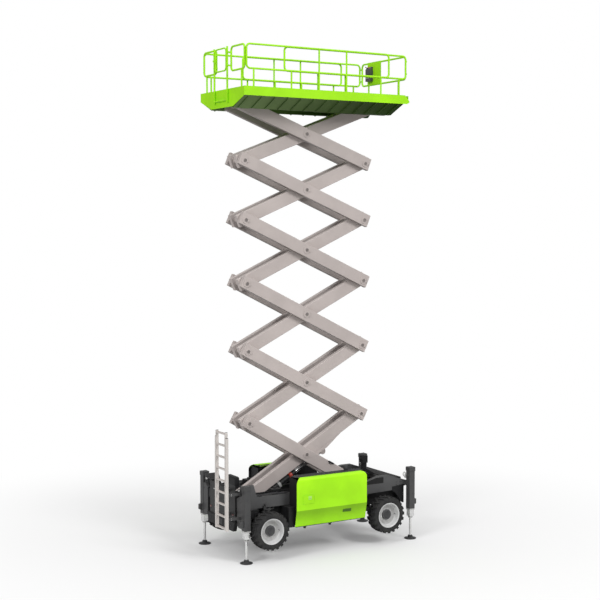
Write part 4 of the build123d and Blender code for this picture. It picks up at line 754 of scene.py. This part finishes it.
for hand, side in HANDS.items():
    body = f"cover_{hand}"
    low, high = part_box(body)
    face_y = side * max(abs(low.y), abs(high.y))
    door_x = low.x + 0.285
    door_at = facing((0, side, 0), (door_x, face_y, DOOR_Z))
    Shape().prism(door_outline, door_at, -0.002, 0.0045).done(
        f"cover_door_{hand}", lime, body, "lime_paint", bevel=0.0015)
    lock_at = facing((0, side, 0), (door_x + 0.035, face_y, LOCK_Z))
    Shape().prism(scaled(door_outline, 0.30, 0.42), lock_at, 0.004, 0.010).lathe(
        [(0, 0), (0.016, 0), (0.016, 0.006), (0.010, 0.009), (0, 0.009)],
        lock_at @ Matrix.Translation((0, 0, 0.010)), 24).done(
        f"cover_lock_{hand}", lock_green, body, "lime_paint", bevel=0.001)
    # raised pressing round the door
    outer, inner = scaled(door_outline, 1.10, 1.14), scaled(door_outline, 1.03, 1.04)
    Shape().skin([[door_at @ Vector((u, v, height)) for u, v in loop] for loop, height in
                  ((outer, -0.001), (outer, 0.0030), (inner, 0.0030), (inner, -0.001))]).done(
        f"cover_door_frame_{hand}", lime, body, "lime_paint")
    # paddle latch on the folded lower part
    drop = FOLD_Z - low.z
    lean = Vector((0, -side * FOLD_TUCK, -drop)).normalized()
    latch = facing((0, side * drop, -FOLD_TUCK), Vector((LATCH_X, face_y, FOLD_Z)) + lean * 0.115, -lean)
    Shape().prism(scaled(door_outline, 0.80, 0.36), latch, -0.001, 0.006).prism(
        scaled(door_outline, 0.55, 0.20), latch @ Matrix.Translation((0, 0.004, 0)), 0.006, 0.013).done(
        f"cover_latch_{hand}", latch_green, body, bevel=0.001)
    Shape().lathe(FILLER_CAP, upright(CAP_X, side * 0.93, high.z), 32).done(
        f"filler_cap_{hand}", black_plastic, body)
    # sealing strip along the lower edge
    edge_y = abs(face_y) - FOLD_TUCK - 0.0025
    Shape().beside(side, low.x + 0.01, high.x - 0.01, edge_y - 0.006, edge_y + 0.006,
                   low.z - 0.008, low.z + 0.004).done(
        f"cover_edge_strip_{hand}", black_plastic, body, bevel=0.002)
    hinges = [x + dx for x in (low.x + 0.16, (low.x + high.x) / 2, high.x - 0.16) for dx in (-0.028, 0.028)]
    Shape().bolts(UP, [(x, side * 0.862, high.z) for x in hinges], 0.007, AHEAD).done(
        f"hinge_bolts_{hand}", steel, body, "lime_paint")
    # non-slip mat on the flat of the top, with rounded ribs along it
    y_in, y_out = MAT_EDGES[hand]
    mat = Shape().beside(side, low.x + 0.02, high.x - 0.045, y_in, y_out, high.z - 0.001, high.z + 0.004)
    for k in range(1 + int((y_out - y_in) / RIB_PITCH)):
        y, z = side * (y_in + 0.010 + RIB_PITCH * k), high.z + 0.0035
        mat.rod((low.x + 0.03, y, z), (high.x - 0.055, y, z), 0.0030, 8)
    mat.done(f"cover_mat_{hand}", black_plastic, body)
    # buffers that the lower edge closes on
    feet = Shape()
    for x in (-0.56, 0.062, 0.875):
        feet.beside(side, x - 0.034, x + 0.034, 0.94, 1.085, 0.628, 0.6505)
        feet.lathe([(0, 0.592), (0.024, 0.592), (0.029, 0.598), (0.029, 0.622), (0.022, 0.630), (0, 0.630)],
                   upright(x, side * 1.050), 20)
    feet.done(f"cover_buffers_{hand}", black_plastic, bevel=0.002)

# -------- jacks
JACK_Y, HOUSING_HALF = 0.955, 0.0725
LEG_HALF = 0.0640
ROD_R = 0.0275
ROD_GLAND = [(ROD_R, 0.470), (0.046, 0.470), (0.050, 0.476), (0.050, 0.488), (0.0425, 0.492), (ROD_R, 0.492),
             (ROD_R, 0.470)]
PAD_SOCKET = [(ROD_R, 0.060), (0.050, 0.060), (0.051, 0.066), (0.044, 0.078), (0.030, 0.082), (ROD_R, 0.082),
              (ROD_R, 0.060)]
cap_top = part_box("jack_housings")[1].z


def square(x, y, half, z):
    return [(x + u, y + v, z) for u, v in rectangle(half, half)]


for corner, side in CORNERS.items():
    low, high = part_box(f"jack_leg_{corner}")
    x, y = (low.x + high.x) / 2, (low.y + high.y) / 2
    outward = 1 if x > 0 else -1
    place = upright(x, y)
    # pale wiper collar where the leg leaves the housing
    wiper_half = HOUSING_HALF - 0.004
    Shape().skin([square(x, y, half, z) for half, z in
                  ((wiper_half, 0.648), (wiper_half, 0.680), (LEG_HALF, 0.680), (LEG_HALF, 0.648))]).done(
        f"jack_wiper_{corner}", bright, slot="rim_paint", bevel=0.003)
    # rod gland at the foot of the square leg, ball socket on the pad
    Shape().lathe(ROD_GLAND, place, 32).done(f"jack_gland_{corner}", steel, f"jack_{corner}", "chrome")
    pad = Shape().lathe(PAD_SOCKET, place, 32)
    pad.bolts(UP, [(x + u, y + v, 0.0225) for u, v in ring_of(4, 0.092, radians(45))], 0.008, AHEAD)
    pad.done(f"pad_socket_{corner}", pad_black, f"jack_{corner}", "pad_rubber")
    # cap bolts, face bolts and hose unions on the housing
    bolts = Shape().bolts(UP, [(x + u, y + v, cap_top) for u in (-0.055, 0.055) for v in (-0.055, 0.055)],
                          0.009, AHEAD)
    bolts.bolts((0, side, 0), [(x, side * (JACK_Y + HOUSING_HALF), z) for z in (0.76, 1.02, 1.30)], 0.008)
    bolts.done(f"jack_bolts_{corner}", dark_steel)
    unions = Shape()
    for offset, z in ((0.030, 1.500), (-0.030, 1.545)):
        base = Vector((x + outward * offset, side * (JACK_Y - HOUSING_HALF), z))
        unions.bolt(facing((0, -side, 0), base), 0.014)
        unions.rod(base + Vector((0, -side * 0.01, 0)), base + Vector((0, -side * 0.032, 0)), 0.009)
    unions.done(f"jack_unions_{corner}", dark_steel)

# -------- rear of the chassis
rear_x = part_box("rear_end")[0].x        # the bumper's back face
plate_x = rear_x + 0.040                # back face of the upper plate
PLATE = [(-0.545, 0.790), (0.600, 0.790), (0.600, 1.530), (0.575, 1.555), (0.345, 1.555), (0.262, 1.440),
         (-0.300, 1.440), (-0.360, 1.480), (-0.520, 1.480), (-0.545, 1.460)]
plate = Shape().prism(PLATE, from_behind(plate_x), -0.012, 0.0)
for y in (-0.594, 0.539):               # folded side flanges
    plate.block((plate_x + 0.001, y - 0.006, 0.80), (plate_x + 0.075, y + 0.006, 1.45))
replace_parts(plate.done("rear_plate", rear_shaded_paint, bevel=0.004), "rear_end")
wings = Shape()
for side in HANDS.values():
    wings.beside(side, plate_x + 0.095, plate_x + 0.107, 0.520, 0.872, 0.765, 1.455)
    for z in (0.86, 1.40):              # stiffening ribs pressed in
        wings.beside(side, plate_x + 0.088, plate_x + 0.096, 0.550, 0.842, z - 0.012, z + 0.012)
wings.done("rear_wings", rear_shaded_paint, bevel=0.003)
Shape().prism([(-0.640, 0.800), (-0.565, 0.590), (0.565, 0.590), (0.640, 0.800)],
              from_behind(rear_x), -0.100, -0.010).done("rear_bumper", soot, bevel=0.012, segments=3)
hood = Shape()
for y0, y1, x0, bottom, top in ((-0.600, -0.250, plate_x, 1.54, 1.742),
                                (0.560, 0.640, plate_x + 0.02, 1.42, 1.500)):
    hood.prism([(x0, bottom), (x0, top - 0.030), (x0 + 0.030, top), (x0 + 0.085, top - 0.004),
                (x0 + 0.110, top - 0.040), (x0 + 0.110, bottom)], from_side(0), -y1, -y0)
hood.done("rear_hood", soot, bevel=0.022, segments=4)
oval = scaled(ring_of(28, 1.0), 0.048, 0.022)
for hand, side in HANDS.items():
    lens_at = from_behind(plate_x + 0.030, side * 0.740, 1.478)
    Shape().prism(scaled(oval, 1.16, 1.25), lens_at, -0.030, 0.014).done(
        f"lamp_body_{hand}", black_plastic, bevel=0.002)
    Shape().prism(oval, lens_at, 0.012, 0.022).done(
        f"lamp_lens_{hand}", pale_lens, slot="rim_paint", bevel=0.004)
    Shape().prism(rectangle(0.035, 0.016), from_behind(plate_x, side * 0.500, 0.930), 0.0, 0.008).done(
        f"reflector_{hand}", red_lens, bevel=0.002)
plate_bolts = [(plate_x, y, z) for y in (-0.50, -0.26, 0.0, 0.26, 0.50) for z in (0.90, 1.36)]
bumper_bolts = [(rear_x + 0.010, y, 0.70) for y in (-0.46, -0.18, 0.18, 0.46)]
Shape().bolts(BACK, plate_bolts, 0.010).bolts(BACK, bumper_bolts, 0.011).done("rear_bolts", dark_steel)
socket = from_behind(rear_x + 0.010, 0.0, 0.70)
Shape().prism(rectangle(0.085, 0.055), socket, -0.001, 0.005).lathe(
    [(0.020, 0.005), (0.046, 0.005), (0.046, 0.008), (0.040, 0.010), (0.020, 0.010), (0.020, 0.005)],
    socket, 28).done("towing_socket", dark_steel, bevel=0.001)

# -------- ladder
RUNG_COUNT, RUNG_PITCH, RUNG_TOP = 9, 0.2445, 0.745
low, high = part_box("ladder")
stile_x, mid_y = low.x + 0.030, (low.y + high.y) / 2
ribs = Shape()
for k in range(RUNG_COUNT):
    z = RUNG_TOP + RUNG_PITCH * k
    for x in (stile_x - 0.014, stile_x, stile_x + 0.014):
        ribs.block((x - 0.0025, mid_y - 0.182, z - 0.001), (x + 0.0025, mid_y + 0.182, z + 0.003))
ribs.done("rung_ribs", arm_paint, slot="arm_paint")
caps = Shape()
for offset, half, top in ((0.200, 0.012, 2.720), (0.229, 0.016, 2.600)):
    for y in (mid_y - offset, mid_y + offset):
        caps.block((stile_x - 0.028, y - half, top - 0.001), (stile_x + 0.028, y + half, top + 0.006))
caps.done("stile_caps", black_plastic, slot="arm_paint", bevel=0.002)
bolts = Shape()
for z in (0.93, 1.43):
    for side in (-1, 1):
        x, y = stile_x + 0.10, mid_y + side * 0.237
        bolts.bolts((0, side, 0), [(x, y, z - 0.016), (x, y, z + 0.016)], 0.007)
bolts.done("ladder_bolts", steel, slot="arm_paint")

# -------- front and flanks of the chassis
FRONT_X = 2.152
FRONT_LAMP = [(0.0, 0.0), (0.030, 0.0), (0.034, 0.006), (0.034, 0.020), (0.026, 0.030), (0, 0.030)]
BRACE = [(1.84, 1.17), (2.15, 1.20), (2.15, 0.78), (2.09, 0.80), (2.02, 0.90), (1.93, 1.02), (1.84, 1.08)]
MOUNT = [(0.876, 0.700), (0.876, 1.372), (0.800, 1.372), (0.668, 1.300), (0.668, 0.770), (0.720, 0.700)]
TANK_CAP = [(0, 0), (0.030, 0), (0.034, 0.006), (0.034, 0.026), (0.028, 0.034), (0, 0.036)]
HOOK = [(2.128, 1.390), (2.088, 1.400), (2.076, 1.440), (2.090, 1.475), (2.118, 1.480), (2.136, 1.455),
        (2.128, 1.390)]
upper_bolts = [(FRONT_X, y, 1.27) for y in (-0.62, -0.31, 0.0, 0.31, 0.62)]
lower_bolts = [(FRONT_X, y, z) for y in (-0.64, 0.64) for z in (0.80, 1.02)]
Shape().bolts(AHEAD, upper_bolts + lower_bolts, 0.010).done("front_bolts", steel)
# bolted joints along the side rails, seen beside the covers
rail_bolts = Shape()
for side in HANDS.values():
    for x in (-1.86, -1.74, 1.02, 1.10, 1.95, 2.05):
        heights = (1.11, 1.27) if x < 1.5 else (1.20, 1.26)
        rail_bolts.bolts((0, side, 0), [(x, side * RAIL_Y, z) for z in heights], 0.009)
rail_bolts.done("rail_bolts", dark_steel)

for hand, side in HANDS.items():
    start, end = (limit.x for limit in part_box(f"module_{hand}"))
    Shape().lathe(FRONT_LAMP, facing(AHEAD, (FRONT_X, side * 0.42, 1.13)), 28).done(
        f"front_lamp_{hand}", pale_lens, slot="rim_paint")
    liner = Shape().beside(side, -1.86, start - 0.006, 0.672, 0.684, 0.640, 1.068)
    for x in (-1.62, -1.38, -1.14, -0.98):
        liner.beside(side, x - 0.012, x + 0.012, 0.683, 0.692, 0.66, 1.05)
    liner.beside(side, start - 0.160, start - 0.008, 0.690, 1.040, 0.640, 1.062)
    liner.beside(side, start - 0.150, start - 0.018, 1.038, 1.046, 0.70, 0.96)
    liner.done(f"inner_liner_{hand}", soot, bevel=0.010)
    front_liner = Shape()
    for x0, x1, z0, z1 in ((end + 0.006, 1.10, 0.640, 1.075), (1.645, 2.12, 0.70, 1.16),
                           (1.09, 1.655, 0.773, 1.16)):
        front_liner.beside(side, x0, x1, 0.560, 0.575, z0, z1)
    front_liner.done(f"front_liner_{hand}", soot, bevel=0.004)
    # brace plate from the rail down to the front jack
    Shape().prism(BRACE, from_side(side * 0.802), -0.005, 0.005).done(f"jack_brace_{hand}", soot, bevel=0.002)
    # plate box that carries the rear jack at the end of its beams
    mount = Shape().prism(scaled(MOUNT, -side, 1), from_behind(-1.890), 0.0, 0.068)
    mount.bolts(BACK, [(-1.957, side * y, z) for z in (0.80, 1.03, 1.26) for y in (0.845, 0.700)], 0.010)
    mount.done(f"jack_mount_{hand}", charcoal, bevel=0.006)
    # bracket and valve block over the rear wheel
    bracket = Shape().beside(side, -1.42, -1.25, 0.800, 0.850, 1.014, 1.048)
    bracket.beside(side, -1.39, -1.33, 0.800, 0.865, 1.085, 1.150)
    bracket.prism([(-1.42, 1.014), (-1.36, 1.014), (-1.36, 1.080), (-1.42, 1.120)],
                  from_side(side * 0.826), -0.024, 0.024)
    bracket.done(f"wheel_bracket_{hand}", charcoal, bevel=0.004)
    valve = Shape().beside(side, -1.80, -1.55, 0.800, 0.870, 0.880, 1.060)
    for x in (-1.77, -1.66):
        valve.beside(side, x, x + 0.07, 0.868, 0.884, 0.92, 1.02)
    valve.done(f"jack_valve_{hand}", soot, bevel=0.006)
    # pipes along the rail, with their clamps
    pipes = Shape()
    for lead, y, z in ((0.0, 0.730, 1.322), (0.03, 0.752, 1.330), (0.06, 0.774, 1.321)):
        pipes.tube([(-1.62 + lead, side * y, z), (-1.28 + lead, side * y, z + 0.020),
                    (-0.95 + lead, side * y, z + 0.004), (start - 0.01, side * y, z + 0.012)], 0.009)
    for x in (-1.45, -1.05):
        pipes.beside(side, x - 0.014, x + 0.014, 0.715, 0.790, 1.310, 1.352)
    pipes.done(f"rail_pipes_{hand}", black_plastic)
    tank = Shape().beside(side, -1.12, -0.90, 0.500, 0.665, 1.290, 1.400)
    tank.lathe(TANK_CAP, upright(-1.01, side * 0.58, 1.400), 24)
    tank.done(f"oil_tank_{hand}", soot, bevel=0.012, segments=3)
    # lifting hook by the front jack
    hook = Shape().tube([(x, side * 0.885, z) for x, z in HOOK], 0.011)
    hook.beside(side, 2.124, 2.151, 0.870, 0.900, 1.350, 1.430)
    hook.done(f"jack_hook_{hand}", bright, slot="rim_paint")
    step = Shape().beside(side, -1.968, -1.905, 0.290, 0.380, 1.318, 1.340)
    step.prism([(-0.040, 0.0), (0.040, 0.0), (0.034, 0.030), (-0.034, 0.030)],
               from_behind(-1.940, side * 0.335, 1.338), -0.008, 0.008)
    step.done(f"rear_step_{hand}", bright, slot="rim_paint", bevel=0.003)

# emergency lowering knob above the left side module
KNOB = [(0, 0), (0.016, 0), (0.016, 0.020), (0.036, 0.022), (0.042, 0.032), (0.036, 0.046), (0, 0.052)]
Shape().lathe(KNOB, facing((-0.5, -1, 0), (-0.42, 0.800, 1.535)), 24).done("lowering_knob", signal_orange)

# -------- platform fittings
LIP_Z, POST_FOOT_Z, LATCH_Z = 9.724, 9.5745, 10.33
low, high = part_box("deck")
lip, collars = Shape(), Shape()
for side in HANDS.values():
    lip.beside(side, low.x + 0.004, high.x - 0.112, 0.962, 0.9795, LIP_Z, LIP_Z + 0.004)
lip.done("toe_board_lip", lime, "platform", "deck_paint", bevel=0.001)
for x in (-0.148, 0.528, -1.695, -0.813, 1.400):
    for side in HANDS.values():
        collars.lathe([(0.0185, 0.0), (0.030, 0.0), (0.030, 0.006), (0.0185, 0.008), (0.0185, 0.0)],
                      upright(x, side * 0.948, POST_FOOT_Z), 24)
collars.done("post_collars", lime, "platform", "deck_paint")
latch = from_behind(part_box("gate")[0].x - 0.004, 0.238, LATCH_Z)
Shape().prism(rectangle(0.022, 0.05), latch, 0.0, 0.012).lathe(
    [(0, 0.012), (0.012, 0.012), (0.012, 0.026), (0.018, 0.030), (0.018, 0.040), (0, 0.042)], latch, 20).done(
    "gate_latch", lime_rail, "gate", "deck_paint", bevel=0.002)

# operator's console
SLOPE = (-0.88, 0, 0.48)                # way its top panel faces
LEVER = [(0, 0), (0.020, 0), (0.016, 0.010), (0.006, 0.014), (0.0055, 0.030), (0.010, 0.034), (0.012, 0.046),
         (0.007, 0.054), (0, 0.055)]
STOP = [(0, 0), (0.012, 0), (0.012, 0.006), (0.018, 0.009), (0.018, 0.016), (0, 0.020)]
low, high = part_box("control_box")
mid_y = (low.y + high.y) / 2
slope_x, slope_z = low.x + 0.015, high.z - 0.0275       # middle of the top panel
covers = Shape()
for z0, z1 in ((low.z + 0.016, low.z + 0.109), (low.z + 0.165, high.z - 0.072)):
    covers.block((low.x - 0.004, low.y + 0.016, z0), (low.x + 0.002, high.y - 0.016, z1))
covers.done("console_covers", grey_plastic, "extension", "control_grey", bevel=0.003)
for name, finish, profile, y, steps in (("drive_lever", black_plastic, LEVER, mid_y + 0.040, 24),
                                        ("stop_button", signal_red, STOP, mid_y - 0.040, 28)):
    Shape().lathe(profile, facing(SLOPE, (slope_x, y, slope_z), (0, 1, 0)), steps).done(
        name, finish, "extension", "control_grey")
buttons = Shape()
for k in range(4):
    buttons.lathe([(0, 0), (0.009, 0), (0.009, 0.006), (0, 0.008)],
                  from_behind(low.x - 0.004, mid_y - 0.048 + 0.032 * k, low.z + 0.070), 16)
buttons.done("console_buttons", bright, "extension", "control_grey")


# -------- floor, light, camera
def grey(value):
    return (value, value, value)


def studio():
    scene = bpy.context.scene
    plane = bmesh.new()
    bmesh.ops.create_grid(plane, x_segments=1, y_segments=1, size=120)
    data = bpy.data.meshes.new("floor")
    plane.to_mesh(data)
    plane.free()
    floor = placed("floor", data, (0, 0, -0.001))
    # shadows show by the machine; far from it the floor glows white
    ground = Finish("studio_floor")
    x, y, _ = ground.axes()
    far = ((x * x + y * y) ** 0.5).ramp(3.0, 11.0)
    seen = ground.node("ShaderNodeLightPath", out="Is Camera Ray")
    glow = ground.blend(seen, ground.blend(far, grey(0.0), grey(0.55)),
                        ground.blend(far, grey(0.13), grey(1.0)))
    data.materials.append(ground.set(Base_Color=ground.blend(far, grey(0.73), grey(0.0)), Roughness=0.9,
                                     Specular_IOR_Level=0.0, Emission_Color=glow, Emission_Strength=1.0))
    # plain white where the camera looks, brighter overhead for the light on the machine
    world = bpy.data.worlds.new("studio")
    scene.world = world
    sky = Sky(world)
    rise = sky.axes()[2]
    overhead = rise.math("MAXIMUM", rise, 0.0) ** 1.5
    lit = sky.node("ShaderNodeBackground", None, {"Color": sky.blend(overhead, grey(0.12), grey(1.12))})
    plain = sky.node("ShaderNodeBackground", None, {"Color": grey(1.0)})
    seen = sky.node("ShaderNodeLightPath", out="Is Camera Ray")
    mixed = sky.node("ShaderNodeMixShader", None, {0: seen, 1: lit, 2: plain})
    sky.node("ShaderNodeOutputWorld", None, {"Surface": mixed}, out=None)
    middle = Vector((0, 0, 4.5))
    for name, place, power in (("key", (10.8, -34.7, 31.0), 9000.0), ("fill", (-36.0, -15.7, 27.0), 7000.0)):
        lamp = bpy.data.lights.new(name, "AREA")
        lamp.shape, lamp.size, lamp.energy = "DISK", 16.0, power
        aim = middle - Vector(place)
        placed(name, lamp, place).rotation_euler = aim.to_track_quat("-Z", "Y").to_euler()
    lens = bpy.data.cameras.new("camera")
    lens.lens, lens.sensor_width, lens.clip_end = 76.587, 36.0, 400
    scene.camera = placed("camera", lens, (-14.144, -23.712, 6.990))
    scene.camera.rotation_euler = (radians(90 - 3.4835), 0, radians(-30.731))
    scene.view_settings.view_transform = "Standard"


studio()
